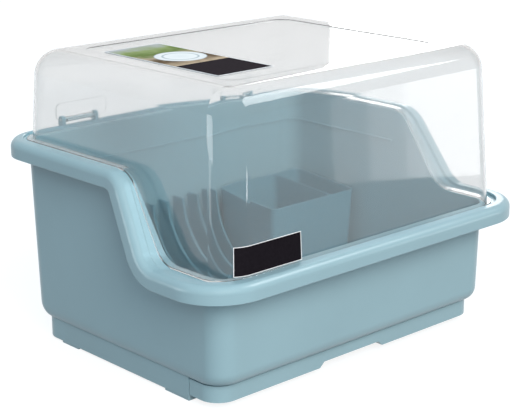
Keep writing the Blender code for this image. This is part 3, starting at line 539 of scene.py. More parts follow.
def rim_profile():
    """Depth, height and slope of the rim's crest down the S, from the low level to the high one."""
    low_run = S_BOTTOM_BEND * tan(S_SLOPE / 2)
    high_run = S_TOP_BEND * tan(S_SLOPE / 2)
    turns = [S_SLOPE * i / BEND_STEPS for i in range(BEND_STEPS + 1)]
    profile = []
    for turn in turns:
        y = S_BOTTOM - low_run + S_BOTTOM_BEND * sin(turn)
        profile.append((y, RIM_LOW + S_BOTTOM_BEND * (1 - cos(turn)), turn))
    for turn in reversed(turns):
        y = S_TOP + high_run - S_TOP_BEND * sin(turn)
        profile.append((y, RIM_HIGH - S_TOP_BEND * (1 - cos(turn)), turn))
    return profile


def corner_stations(end):
    start, height = (-QUARTER_TURN, RIM_LOW) if end < 0 else (0, RIM_HIGH)
    return [Station(end, 1, start + QUARTER_TURN * i / ARC_STEPS, height) for i in range(ARC_STEPS + 1)]


def all_stations():
    """Stations from the middle of the front, along the right, round to the front again."""
    half = [Station(-1, share, 0, RIM_LOW) for share in (0, 1 / 2)] + corner_stations(-1)
    half += [Station(0, y, 0, height, slope) for y, height, slope in rim_profile()]
    half.append(Station(0, (TUB_DEPTH / 2 - TUB_CORNER) / 2, 0, RIM_HIGH))
    half += corner_stations(1) + [Station(1, share, 0, RIM_HIGH) for share in (1 / 2, 0)]
    return half + [station._replace(mirror=-1) for station in half[-2:0:-1]]


def plan_point(station, half_width, half_depth, corner, side_share=1):
    """Place and outward direction of a station on a rounded rectangle of the given half sizes."""
    end, place, angle, *_, mirror = station
    if end == 0:
        return mirror * half_width, TUB_Y + place * side_share, mirror, 0
    if place < 1:
        return mirror * place * (half_width - corner), TUB_Y + end * half_depth, 0, end
    toward_x = cos(angle)
    toward_y = sin(angle)
    x = half_width - corner + corner * toward_x
    y = end * (half_depth - corner) + corner * toward_y
    return mirror * x, TUB_Y + y, mirror * toward_x, toward_y


def by_direction(station, at_side, at_front, at_back):
    """A value that turns smoothly from the side's into the front's or the back's at a corner."""
    if station.end == 0:
        return at_side
    at_end = at_front if station.end < 0 else at_back
    if station.place < 1:
        return at_end
    return at_side + (at_end - at_side) * sin(station.angle) ** 2


def tub_half_sizes(height):
    lean = TUB_DRAFT_SHARE * (RIM_HIGH - height)
    return TUB_WIDTH / 2 - lean, TUB_DEPTH / 2 - lean


def lid_half_sizes(height):
    lean = LID_DRAFT_SHARE * (LID_TOP - height)
    return LID_WIDTH / 2 + lean, LID_DEPTH / 2 + lean


def rim_point(station, half_sizes, corner, out, up):
    """A point out from a wall and up from the rim's crest, square to the crest's slope."""
    *_, height, slope, _ = station
    x, y, toward_x, toward_y = plan_point(station, *half_sizes(height), corner)
    return x + toward_x * out, y + toward_y * out - up * sin(slope), height + up * cos(slope)


def section_rings(every, section, half_sizes, corner):
    """Rings through the points, out and up, that a section has at each station."""
    sections = [section(station) for station in every]
    return [
        [rim_point(station, half_sizes, corner, *points[k]) for station, points in zip(every, sections)]
        for k in range(len(sections[0]))
    ]


def level_ring(every, half_sizes, inset, corner, height):
    """A ring at one height, whose side stations keep their share of the straight side."""
    half_width, half_depth = [half - inset for half in half_sizes]
    side_share = (half_depth - corner) / (TUB_DEPTH / 2 - TUB_CORNER)
    return [
        (*plan_point(station, half_width, half_depth, corner, side_share)[:2], height) for station in every
    ]


def back_wall(front, half_width, half_depth, corner, thickness, low, high, edge):
    """An upright wall round the back, from the same place on both sides, with its edges rounded."""
    half = [Station(0, front, 0, RIM_HIGH)] + corner_stations(1)
    rings = []
    for station in half + [station._replace(mirror=-1) for station in reversed(half)]:
        x, y, toward_x, toward_y = plan_point(station, half_width, half_depth, corner)
        inner = (x - toward_x * thickness, y - toward_y * thickness)
        rings.append([(x, y, low), (x, y, high), (*inner, high), (*inner, low)])
    return bevelled(loft(rings), edge)


# Tub


def rim_section(station):
    """The rim's section as out and up: over the seat, the ridge and the edge, and back below."""
    lowered_share = (RIM_HIGH - station.height) / (RIM_HIGH - RIM_LOW)
    wall_half_width, wall_half_depth = tub_half_sizes(station.height)
    rim_half_width = TUB_WIDTH / 2 + RIM_HIGH_REACH + (RIM_LOW_REACH - RIM_HIGH_REACH) * lowered_share
    edge = by_direction(
        station,
        rim_half_width - wall_half_width,
        TUB_DEPTH / 2 + RIM_FRONT_REACH - wall_half_depth,
        TUB_DEPTH / 2 + RIM_BACK_REACH - wall_half_depth,
    )
    ridge = edge - by_direction(station, RIDGE_TO_EDGE_SIDE, RIDGE_TO_EDGE_FRONT, RIDGE_TO_EDGE_BACK)
    bend = max(edge - RIM_ROUNDING, ridge + (edge - ridge) * RIM_FLAT_SHARE)
    inner_edge = edge - RIM_THICKNESS
    section = rounded_path([
        (-TUB_WALL, -RIM_SKIRT),
        (-TUB_WALL, -SEAT_DROP),
        (ridge - RIDGE_WIDTH, -SEAT_DROP),
        (ridge - RIDGE_WIDTH + RIDGE_ROUNDING / 2, 0),
        (bend, -RIM_FALL),
    ], SEAT_ROUNDING, SEAT_ROUNDING, RIDGE_ROUNDING)
    for turn in ROUNDING_TURNS:
        section.append((bend + (edge - bend) * sin(turn), -RIM_FALL - RIM_ROUNDING * (1 - cos(turn))))
    section += rounded_path([
        (edge, -RIM_ROUNDING), (edge, -RIM_SKIRT), (inner_edge, -RIM_SKIRT), (inner_edge, -RIM_ROUNDING),
    ], SKIRT_EDGE_ROUNDING, SKIRT_EDGE_ROUNDING)
    for turn in reversed(ROUNDING_TURNS):
        drop = RIM_FALL + RIM_THICKNESS + (RIM_ROUNDING - RIM_THICKNESS) * (1 - cos(turn))
        section.append((bend + (inner_edge - bend) * sin(turn), -drop))
    return section + [(ridge, -SEAT_DROP - RIM_THICKNESS), (0, -SEAT_DROP - RIM_THICKNESS)]


def tub_shell():
    """The wall, the floor and the rim as one loft, from the floor's top to the floor's underside."""
    every = all_stations()
    rings = []
    for turn in ROUNDING_TURNS:
        height = FLOOR_TOP + FLOOR_FILLET * (1 - cos(turn))
        inset = TUB_WALL + FLOOR_FILLET * (1 - sin(turn))
        rings.append(level_ring(every, tub_half_sizes(height), inset, TUB_CORNER - inset / 2, height))
    rings += section_rings(every, rim_section, tub_half_sizes, TUB_CORNER)
    wall_foot = FLOOR_UNDERSIDE + BOTTOM_ROUNDING
    half_width, half_depth = tub_half_sizes(wall_foot)
    for turn in ROUNDING_TURNS:
        inward_share = 1 - cos(turn)
        half_sizes = (
            half_width + (BASE_WIDTH / 2 - half_width) * inward_share,
            half_depth + (BASE_DEPTH / 2 - half_depth) * inward_share,
        )
        corner = TUB_CORNER + (BASE_CORNER - TUB_CORNER) * inward_share
        rings.append(level_ring(every, half_sizes, 0, corner, wall_foot - BOTTOM_ROUNDING * sin(turn)))
    return loft(rings)


def ledge():
    """A narrow step along the inside of the high wall."""
    half_width, half_depth = tub_half_sizes(LEDGE_HEIGHT)
    sunk = TUB_WALL / 2
    return back_wall(
        S_TOP + LEDGE_BEHIND_S, half_width - sunk, half_depth - sunk, TUB_CORNER - sunk,
        TUB_WALL - sunk + LEDGE_WIDTH, LEDGE_HEIGHT - LEDGE_THICKNESS, LEDGE_HEIGHT, LEDGE_EDGE,
    )


def hinge_spans(reach=0):
    """Left and right end of each hinge's knuckle, with a reach beyond it at both ends."""
    half = HINGE_KNUCKLE_LENGTH / 2 + reach
    return [(side * HINGE_X - half, side * HINGE_X + half) for side in (-1, 1)]


def hinge_rods(radius, reach):
    """Rods along both hinges' axis, with a reach beyond the knuckle at both ends."""
    outline = circle(HINGE_Y, HINGE_Z, radius)
    return [prism(outline, left, right, "x") for left, right in hinge_spans(reach)]


def hinge_ears():
    """Ears that stand on the back rim, sunk into its seat and its skirt."""
    back = TUB_BACK + RIM_BACK_REACH - RIM_THICKNESS / 2
    outline = [(HINGE_Y - HINGE_EAR_RADIUS, RIM_HIGH - SEAT_DROP - RIM_THICKNESS / 2)]
    for i in range(ROUND_SIDES // 2 + 1):
        turn = FULL_TURN * i / ROUND_SIDES
        outline.append((HINGE_Y - HINGE_EAR_RADIUS * cos(turn), HINGE_Z + HINGE_EAR_RADIUS * sin(turn)))
    outline.append((back, RIM_HIGH - RIM_ROUNDING - RIM_THICKNESS / 2))
    for left, right in hinge_spans():
        yield bevelled(prism(outline, left - HINGE_EARS_REACH, left - RUNNING, "x"), EAR_EDGE)
        yield bevelled(prism(outline, right + RUNNING, right + HINGE_EARS_REACH, "x"), EAR_EDGE)


def drain_slots():
    radius = DRAIN_WIDTH * DRAIN_ROUNDING_SHARE
    for x in middles(BASE_WIDTH - 2 * DRAIN_MARGIN, DRAIN_PITCH_X):
        for along in middles(BASE_DEPTH - 2 * DRAIN_MARGIN, DRAIN_PITCH_Y):
            y = TUB_Y + along
            outline = rounded_box(
                x - DRAIN_LENGTH / 2, x + DRAIN_LENGTH / 2, y - DRAIN_WIDTH / 2, y + DRAIN_WIDTH / 2,
                radius, radius, DRAIN_END_STEPS,
            )
            yield prism(outline, FLOOR_UNDERSIDE - OVERRUN, FLOOR_TOP + OVERRUN)


def base_skirt():
    """The wall below the tub's floor, round the back and both sides, sunk into the floor."""
    return back_wall(
        SKIRT_FRONT_END, BASE_WIDTH / 2, BASE_DEPTH / 2, BASE_CORNER, SKIRT_WALL,
        SKIRT_BOTTOM, FLOOR_UNDERSIDE + TUB_WALL / 2, BASE_EDGE,
    )


def side_blocks(outer, inner, spans, bottom, top, edge):
    """Rounded blocks at both sides, between two distances from the middle and over spans of depth."""
    for side in (-1, 1):
        left, right = sorted((side * outer, side * inner))
        for front, back in spans:
            yield bevelled(box((left, TUB_Y + front, bottom), (right, TUB_Y + back, top)), edge)


def feet():
    outer = BASE_WIDTH / 2 - FOOT_INSET
    front = SKIRT_FRONT_END + FOOT_INSET
    back = BASE_DEPTH / 2 - REAR_FOOT_FROM_BACK
    spans = ((front, front + FRONT_FOOT_LENGTH), (back - REAR_FOOT_LENGTH, back))
    return side_blocks(outer, outer - FOOT_WIDTH, spans, 0, FOOT_THICKNESS, BASE_EDGE)


def tray_rails():
    outer = BASE_WIDTH / 2 - SKIRT_WALL / 2
    inner = BASE_WIDTH / 2 - SKIRT_WALL - RAIL_WIDTH
    span = (SKIRT_FRONT_END + RAIL_SETBACK, BASE_DEPTH / 2 - RAIL_FROM_BACK)
    return side_blocks(outer, inner, [span], RAIL_TOP - RAIL_THICKNESS, RAIL_TOP, RAIL_EDGE)


def make_tub(material):
    """The tub and its base, whose seam doesn't show."""
    tub = add_object("tub_moulding", tub_shell())
    for mesh in (ledge(), *hinge_ears(), base_skirt(), *feet(), *tray_rails()):
        combine(tub, "UNION", mesh)
    combine(tub, "DIFFERENCE", *hinge_rods(HINGE_PIN_RADIUS + TOUCH, HINGE_EARS_REACH + OVERRUN))
    combine(tub, "DIFFERENCE", *drain_slots())
    smooth(tub)
    finish_piece(tub, "base", ("tub", "base_frame"), "blue_plastic", material)


def make_hinge_pins(material):
    end = HINGE_PIN_RADIUS - PIN_CHAMFER
    for name, (left, right) in zip(("hinge_pin_left", "hinge_pin_right"), hinge_spans(HINGE_EARS_REACH)):
        places = (left, left + PIN_CHAMFER, right - PIN_CHAMFER, right)
        rings = []
        for x, radius in zip(places, (end, HINGE_PIN_RADIUS, HINGE_PIN_RADIUS, end)):
            rings.append([(x, y, z) for y, z in circle(HINGE_Y, HINGE_Z, radius)])
        pin = smooth(add_object("turned_" + name, loft(rings)))
        finish_piece(pin, "base", (name,), "pin_plastic", material)


# Drip tray


def tray_outline(inset):
    """The tray's front part, as wide as the base, with the front corners rounded."""
    half_width = BASE_WIDTH / 2 - inset
    return rounded_box(
        -half_width, half_width, BASE_FRONT + inset,
        TUB_Y + SKIRT_FRONT_END - TRAY_END_GAP - inset, BASE_CORNER - inset, 0,
    )


def pan_outline(inset):
    """The tray's pan, which slides between the arms of the skirt."""
    half_width = BASE_WIDTH / 2 - SKIRT_WALL - TRAY_SIDE_GAP - inset
    back = BASE_BACK - SKIRT_WALL - TRAY_BACK_GAP - inset
    front = TUB_Y + SKIRT_FRONT_END - BASE_CORNER
    return rounded_box(-half_width, half_width, front, back, 0, BASE_CORNER - SKIRT_WALL - inset)


def notch_outline(grow, low):
    """The finger notch seen from the front, with slanted ends."""
    top = RAIL_TOP + TOUCH + NOTCH_HEIGHT + grow
    return [
        (NOTCH_LEFT - grow, low),
        (NOTCH_LEFT - grow + NOTCH_SLOPE, top),
        (NOTCH_RIGHT + grow - NOTCH_SLOPE, top),
        (NOTCH_RIGHT + grow, low),
    ]


def make_drip_tray(material):
    bottom = RAIL_TOP + TOUCH
    top = FLOOR_UNDERSIDE - TRAY_TOP_GAP
    floor = bottom + TRAY_WALL
    back = BASE_FRONT + NOTCH_DEPTH
    cover = notch_outline(TRAY_WALL, bottom + TRAY_WALL / 2)
    notch = notch_outline(0, bottom - OVERRUN)
    tray = add_object("tray_moulding", prism(tray_outline(0), bottom, top))
    combine(tray, "UNION", prism(pan_outline(0), bottom, top - TRAY_PAN_DROP))
    combine(tray, "DIFFERENCE", prism(tray_outline(TRAY_WALL), floor, top + OVERRUN))
    combine(tray, "DIFFERENCE", prism(pan_outline(TRAY_WALL), floor, top + OVERRUN))
    combine(tray, "UNION", prism(cover, BASE_FRONT + TRAY_WALL / 2, back + TRAY_WALL, "y"))
    combine(tray, "DIFFERENCE", prism(notch, BASE_FRONT - OVERRUN, back, "y"))
    rounded(tray, TRAY_EDGE)
    smooth(tray)
    finish_piece(tray, "tray_body", ("drip_tray",), "blue_plastic", material)


# Plate rack


def inner_back(height):
    """Depth of the tub's inner face at the back, above the floor's fillet."""
    return TUB_Y + tub_half_sizes(height)[1] - TUB_WALL


def rib_outline():
    """A rib seen from the side: a high back, a round cradle for plates and a low front."""
    foot = RACK_PLATE_TOP - RACK_PLATE_THICKNESS / 2
    start = acos((RIB_TOP - RIB_PLATE_CENTER_HEIGHT) / RIB_PLATE_RADIUS)
    end = -acos((RIB_FRONT_TOP - RIB_PLATE_CENTER_HEIGHT) / RIB_PLATE_RADIUS)
    outline = [
        (inner_back(RACK_PLATE_TOP) - RIB_BACK_GAP, foot),
        (inner_back(RIB_TOP) - RIB_BACK_GAP, RIB_TOP),
    ]
    sweep = FULL_TURN + end - start
    for i in range(2 * ARC_STEPS + 1):
        turn = start + sweep * i / (2 * ARC_STEPS)
        outline.append((
            TUB_BACK - RIB_PLATE_CENTER_FROM_BACK + RIB_PLATE_RADIUS * sin(turn),
            RIB_PLATE_CENTER_HEIGHT + RIB_PLATE_RADIUS * cos(turn),
        ))
    front = outline[-1][0] - RIB_FRONT_LENGTH
    outline.append((front, RIB_FRONT_TOP))
    outline.append((front - RIB_FRONT_SLOPE, foot))
    return outline


def rack_ribs():
    outline = rib_outline()
    for i in range(RIB_COUNT):
        x = RIB_FIRST + i * RIB_PITCH
        rib = prism(outline, x - RIB_THICKNESS / 2, x + RIB_THICKNESS / 2, "x")
        yield bevelled(rib, RIB_EDGE, RIB_SEGMENTS)


def rack_windows(back):
    """The openings between the bars of the rack's plate, one for each two ribs."""
    pitch_x = 2 * RIB_PITCH
    pitch_y = (back - RACK_FRONT - RACK_BAR_WIDTH) / RACK_WINDOW_ROWS
    top = RACK_PLATE_TOP + OVERRUN
    for column in range((RIB_COUNT - 1) // 2):
        x = RIB_FIRST + column * pitch_x + RACK_BAR_WIDTH / 2
        for row in range(RACK_WINDOW_ROWS):
            y = RACK_FRONT + RACK_BAR_WIDTH + row * pitch_y
            high = (x + pitch_x - RACK_BAR_WIDTH, y + pitch_y - RACK_BAR_WIDTH, top)
            yield box((x, y, RACK_PLATE_UNDERSIDE - OVERRUN), high)


def rack_feet(back):
    half = RACK_FOOT_SIZE / 2
    last = (RIB_COUNT - 1) // 2
    for column in (0, last // 2, last):
        x = RIB_FIRST + column * 2 * RIB_PITCH
        for y in (RACK_FRONT + RACK_BAR_WIDTH / 2 + half, back - FLOOR_FILLET - half):
            low = (x - half, y - half, FLOOR_TOP + TOUCH)
            high = (x + half, y + half, RACK_PLATE_UNDERSIDE + RACK_PLATE_THICKNESS / 2)
            yield bevelled(box(low, high), RACK_EDGE)


def make_rack(material):
    """The rack's plate of crossing bars, its feet and its ribs, as the one moulding that it is."""
    back = inner_back(RACK_PLATE_TOP) - FLOOR_FILLET / 2
    outline = rounded_box(RACK_LEFT, RACK_RIGHT, RACK_FRONT, back, 0, RACK_CORNER)
    rack = add_object("rack_moulding", prism(outline, RACK_PLATE_UNDERSIDE, RACK_PLATE_TOP))
    combine(rack, "DIFFERENCE", *rack_windows(back))
    rounded(rack, RACK_EDGE)
    combine(rack, "UNION", *rack_feet(back))
    combine(rack, "UNION", *rack_ribs())
    smooth(rack)
    nodes = ["rack_base"] + [f"rack_rib_{i + 1}" for i in range(RIB_COUNT)]
    finish_piece(rack, "rack_body", nodes, "insert_plastic", material)


# Cutlery holder


def holder_solid(left, right, wall, at_left, at_right, bottom, top, slope=0):
    """A solid inside a wall, drawn in at its bottom, but at the left and the right only for a 1."""
    radius = HOLDER_CORNER - wall
    rings = []
    for draft, level, rise in ((HOLDER_DRAFT, bottom, 0), (0, top, slope)):
        outline = rounded_box(
            left + wall + at_left * draft, right - wall - at_right * draft,
            HOLDER_FRONT + wall + draft, HOLDER_BACK - wall - draft, radius, radius, HOLDER_CORNER_STEPS,
        )
        rings.append([(x, y, level + (y - HOLDER_FRONT) * rise) for x, y in outline])
    return loft(rings)


def make_holder(material):
    """A box of two compartments, each drawn in at its outer side only, with drain holes."""
    bottom = FLOOR_TOP + TOUCH
    floor = bottom + HOLDER_WALL
    top = HOLDER_BACK_TOP + OVERRUN
    slope = (HOLDER_BACK_TOP - HOLDER_FRONT_TOP) / (HOLDER_BACK - HOLDER_FRONT)
    shell = holder_solid(HOLDER_LEFT, HOLDER_RIGHT, 0, 1, 1, bottom, HOLDER_FRONT_TOP, slope)
    holder = add_object("holder_moulding", shell)
    middle_y = (HOLDER_FRONT + HOLDER_BACK) / 2
    half_wall = HOLDER_WALL / 2
    margins = 2 * (HOLDER_WALL + HOLDER_DRAFT + HOLDER_DRAIN_MARGIN)
    drains = []
    for left, right, at_left, at_right in (
        (HOLDER_LEFT, HOLDER_DIVIDER + half_wall, 1, 0),
        (HOLDER_DIVIDER - half_wall, HOLDER_RIGHT, 0, 1),
    ):
        hollow = holder_solid(left, right, HOLDER_WALL, at_left, at_right, floor, top)
        combine(holder, "DIFFERENCE", hollow)
        for x in middles(right - left - margins, HOLDER_DRAIN_PITCH):
            for y in middles(HOLDER_DEPTH - margins, HOLDER_DRAIN_PITCH):
                outline = circle((left + right) / 2 + x, middle_y + y, HOLDER_DRAIN_RADIUS, HOLE_SIDES)
                drains.append(prism(outline, bottom - OVERRUN, floor + OVERRUN))
    rounded(holder, HOLDER_EDGE)
    combine(holder, "DIFFERENCE", *drains)
    smooth(holder)
    finish_piece(holder, "holder_body", ("cutlery_holder",), "insert_plastic", material)


# Lid


def hood_rings(every, depth):
    """Rings of the top at a depth below its outside: out over the panel's step and the rounding."""
    start = (PANEL_INSET + 2 * PANEL_RUN, -PANEL_STEP)
    low = (PANEL_INSET + PANEL_RUN, -PANEL_STEP)
    high = (PANEL_INSET, 0)
    end = (PANEL_INSET - PANEL_RUN, 0)
    rings = []
    for inset, rise in [start, *rounded_path([start, low, high, end], PANEL_ROUNDING, PANEL_ROUNDING)]:
        corner = PANEL_CORNER + PANEL_INSET - inset
        height = LID_TOP - depth + rise
        rings.append(level_ring(every, (LID_WIDTH / 2, LID_DEPTH / 2), inset, corner, height))
    radius = LID_TOP_ROUNDING - depth
    for turn in ROUNDING_TURNS:
        height = LID_TOP - depth - radius * (1 - cos(turn))
        inset = depth + radius * (1 - sin(turn))
        rings.append(level_ring(every, lid_half_sizes(height), inset, LID_CORNER - inset, height))
    return rings


def foot_section(station):
    """The wall's foot as out and up: out over its lip, down and back in below the wall."""
    reach = by_direction(station, LID_FOOT_SIDE, LID_FOOT_FRONT, LID_FOOT_BACK)
    inset = reach - min(LID_FOOT_EDGE, reach / 2)
    low = TOUCH - SEAT_DROP
    high = low + LID_FOOT_THICKNESS
    return [
        (0, high), (inset, high), (reach, high - LID_FOOT_EDGE),
        (reach, low + LID_FOOT_EDGE), (inset, low), (-LID_WALL, low),
    ]


def lid_shell():
    """The clear hood as one loft, from the panel's top, over the wall's foot, to the panel inside."""
    every = all_stations()
    rings = hood_rings(every, 0)
    rings += section_rings(every, foot_section, lid_half_sizes, LID_CORNER)
    rings += reversed(hood_rings(every, LID_WALL))
    return loft(rings)


def lid_back(height):
    """Depth of the lid's outer face at the back."""
    return TUB_Y + lid_half_sizes(height)[1]


def hinge_pads():
    """Raised pads on the lid's back that follow the wall's lean."""
    low = HINGE_Z + HINGE_PAD_ABOVE_AXIS
    reaches = (-LID_WALL / 2, HINGE_PAD_THICKNESS)
    for middle in (-HINGE_X, HINGE_X):
        outline = rounded_box(
            middle - HINGE_PAD_WIDTH / 2, middle + HINGE_PAD_WIDTH / 2, low, low + HINGE_PAD_HEIGHT,
            HINGE_PAD_CORNER, HINGE_PAD_CORNER, PAD_CORNER_STEPS,
        )
        yield loft([[(x, lid_back(z) + out, z) for x, z in outline] for out in reaches])


def hinge_webs():
    half = HINGE_WEB_THICKNESS / 2
    for left, right in hinge_spans():
        low = (left + half, lid_back(HINGE_Z) - LID_WALL / 2, HINGE_Z - half)
        yield box(low, (right - half, HINGE_Y, HINGE_Z + half))


def make_lid(material):
    lid = add_object("lid_hood", lid_shell())
    for meshes in (hinge_pads(), hinge_webs(), hinge_rods(HINGE_KNUCKLE_RADIUS, 0)):
        combine(lid, "UNION", *meshes)
    combine(lid, "DIFFERENCE", *hinge_rods(HINGE_PIN_RADIUS + RUNNING, OVERRUN))
    smooth(lid)
    finish_piece(lid, "lid_body", ("lid",), "clear_plastic", material)


# Labels


def label_sheet(name, columns, rows, place):
    """A thin label in cells between columns and rows, at the points that place gives for each."""
    count = len(rows)
    layer = len(columns) * count
    points = []
    for out in (LABEL_THICKNESS, 0):
        points += [place(across, along, out) for across in columns for along in rows]
    starts = [start for start in range(layer - count) if (start + 1) % count]
    faces = [(start, start + count, start + count + 1, start + 1) for start in starts]
    faces += [tuple(layer + corner for corner in face) for face in faces]
    rim = [*range(0, layer, count), *range(layer - count + 1, layer)]
    rim += [*range(layer - count - 1, 0, -count), *range(count - 2, 0, -1)]
    for first, second in zip(rim, rim[1:] + rim[:1]):
        faces.append((first, second, layer + second, layer + first))
    return add_object(name, mesh_from(points, faces))


def paint_cells(label, columns, rows, kind):
    """Gives each cell of a label's outer side the material that kind names for it."""
    for i in range(len(columns) - 1):
        for j in range(len(rows) - 1):
            label.data.polygons[i * (len(rows) - 1) + j].material_index = kind(i, j)


def make_lid_label(border, band, picture):
    panel_half_depth = LID_DEPTH / 2 - PANEL_INSET - PANEL_STEP
    left = PANEL_INSET + PANEL_STEP + LID_LABEL_SIDE_MARGIN - LID_WIDTH / 2
    right = left + LID_LABEL_WIDTH
    front = TUB_Y - panel_half_depth + LID_LABEL_FRONT_MARGIN
    back = TUB_Y + panel_half_depth - LID_LABEL_BACK_MARGIN
    columns = (left, left + LABEL_BORDER, right - LABEL_BORDER, right)
    rows = (front, front + LABEL_BORDER, front + LID_LABEL_BAND, back - LABEL_BORDER, back)
    label = label_sheet(
        "lid_label_print", columns, rows, lambda x, y, out: (x, y, LID_LABEL_UNDERSIDE + out)
    )
    finish_piece(label, "lid_body", ("lid_label",), "label_print", border, band, picture)
    paint_cells(label, columns, rows, lambda i, j: j if i == 1 and j in (1, 2) else 0)


def make_corner_label(border, band):
    """A label that lies round the lid's front left corner and on its front."""
    start = -QUARTER_TURN * CORNER_LABEL_START_SHARE
    bend = (QUARTER_TURN + start) * LID_CORNER
    flat = CORNER_LABEL_REACH - LID_CORNER
    columns = [0, CORNER_LABEL_BORDER]
    columns += [bend * (i + 2) / (ARC_STEPS + 2) for i in range(ARC_STEPS + 1)]
    columns += [bend + flat - CORNER_LABEL_BORDER, bend + flat]
    rows = (
        CORNER_LABEL_BOTTOM, CORNER_LABEL_BOTTOM + CORNER_LABEL_BORDER,
        CORNER_LABEL_TOP - CORNER_LABEL_BORDER, CORNER_LABEL_TOP,
    )

    def place(along, height, out):
        half_width, half_depth = lid_half_sizes(height)
        turn = max(-QUARTER_TURN, start - along / LID_CORNER)
        station = Station(-1, 1, turn, height, mirror=-1)
        x, y, toward_x, toward_y = plan_point(station, half_width, half_depth, LID_CORNER)
        if along > bend:
            x += (CORNER_LABEL_REACH - LID_WIDTH / 2 - x) * (along - bend) / flat
        return x + toward_x * (out + TOUCH), y + toward_y * (out + TOUCH), height

    label = label_sheet("corner_label_print", columns, rows, place)
    smooth(label)
    finish_piece(label, "lid_body", ("corner_label",), "label_print", border, band)
    last = len(columns) - 2
    paint_cells(label, columns, rows, lambda i, j: 1 if 0 < i < last and j == 1 else 0)


# Materials


def new_material(name):
    """A material, its node tree, its Principled shader and its output."""
    material = bpy.data.materials.new(name)
    material.use_nodes = True
    tree = material.node_tree
    return material, tree, tree.nodes["Principled BSDF"], tree.nodes["Material Output"]


def fill_in(node, inputs):
    """Gives a node its inputs, each of which is a value or another node's output."""
    links = node.id_data.links
    for name, value in inputs.items():
        if isinstance(value, bpy.types.NodeSocket):
            links.new(value, node.inputs[name])
        else:
            node.inputs[name].default_value = value


def add_node(tree, kind, inputs=None, **settings):
    node = tree.nodes.new("ShaderNode" + kind)
    for name, value in settings.items():
        setattr(node, name, value)
    fill_in(node, inputs or {})
    return node


def calculate(tree, operation, first, second):
    """The output of a math node."""
    return add_node(tree, "Math", {0: first, 1: second}, operation=operation).outputs[0]


def remap(tree, value, start, end, low=0, high=1):
    """A value from start to end, mapped to low to high and kept within them."""
    return add_node(tree, "MapRange", {
        "Value": value, "From Min": start, "From Max": end, "To Min": low, "To Max": high,
    }).outputs["Result"]


def noise(tree, scale, detail):
    place = add_node(tree, "TexCoord").outputs["Object"]
    inputs = {"Vector": place, "Scale": scale, "Detail": detail}
    return add_node(tree, "TexNoise", inputs).outputs["Fac"]


def uneven(tree, scale, detail, low, high):
    """Noise, spread over low to high."""
    return remap(tree, noise(tree, scale, detail), *NOISE_RANGE, low, high)


def tinted(tree, value, darker, lighter):
    """A colour between two, by a value from 0 to 1, through a Mix node's sockets for colours."""
    inputs = {"Factor": value, 6: darker, 7: lighter}
    return add_node(tree, "Mix", inputs, data_type="RGBA").outputs[2]


def shaded(color, share):
    return [channel * share for channel in color] + [1]


def fine_grain(tree, scale, strength, depth):
    return add_node(tree, "Bump", {
        "Height": noise(tree, scale, GRAIN_DETAIL), "Strength": strength, "Distance": depth,
    }).outputs["Normal"]


def plain_surface(
    name, color, roughness, tint, tint_scale, gloss, gloss_scale, gloss_detail, grain, inputs
):
    """A surface of one colour, slightly uneven in its colour and gloss, with a fine grain."""
    material, tree, shader, _ = new_material(name)
    shade = uneven(tree, tint_scale, NOISE_DETAIL, 0, 1)
    fill_in(shader, {
        "Base Color": tinted(tree, shade, shaded(color, 1 - tint), shaded(color, 1 + tint)),
        "Roughness": uneven(tree, gloss_scale, gloss_detail, roughness - gloss, roughness + gloss),
        "Normal": fine_grain(tree, *grain),
        **inputs,
    })
    return material


def show_mix(tree, output, factor, first, second):
    """Shows the first shader where a factor is 0, and the second where it is 1."""
    mix = add_node(tree, "MixShader", {0: factor, 1: first.outputs[0], 2: second.outputs[0]})
    fill_in(output, {"Surface": mix.outputs[0]})


def clear_plastic():
    """Clear plastic, greyer where it is seen edge-on, which lets the lamps' light through."""
    material, tree, shader, output = new_material("clear_plastic")
    facing = add_node(tree, "LayerWeight", {"Blend": CLEAR_EDGE_BLEND}).outputs["Facing"]
    edge = calculate(tree, "POWER", facing, CLEAR_EDGE_POWER)
    fill_in(shader, {
        "Base Color": tinted(tree, edge, CLEAR, CLEAR_EDGE),
        "Transmission Weight": CLEAR_TRANSMISSION,
        "IOR": PLASTIC_IOR,
        "Roughness": uneven(tree, CLEAR_ROUGHNESS_SCALE, NOISE_DETAIL, *CLEAR_ROUGHNESS),
        "Normal": fine_grain(tree, *CLEAR_GRAIN),
    })
    is_shadow = add_node(tree, "LightPath").outputs["Is Shadow Ray"]
    see_through = add_node(tree, "BsdfTransparent", {"Color": CLEAR_SHADOW})
    show_mix(tree, output, is_shadow, shader, see_through)
    return material


def ramp(tree, value, stops):
    """A colour along stops, each of which is a place from 0 to 1 and a colour."""
    node = add_node(tree, "ValToRGB", {"Fac": value})
    while len(node.color_ramp.elements) < len(stops):
        node.color_ramp.elements.new(1)
    for element, (place, color) in zip(node.color_ramp.elements, stops):
        element.position = place
        element.color = color
    return node.outputs["Color"]


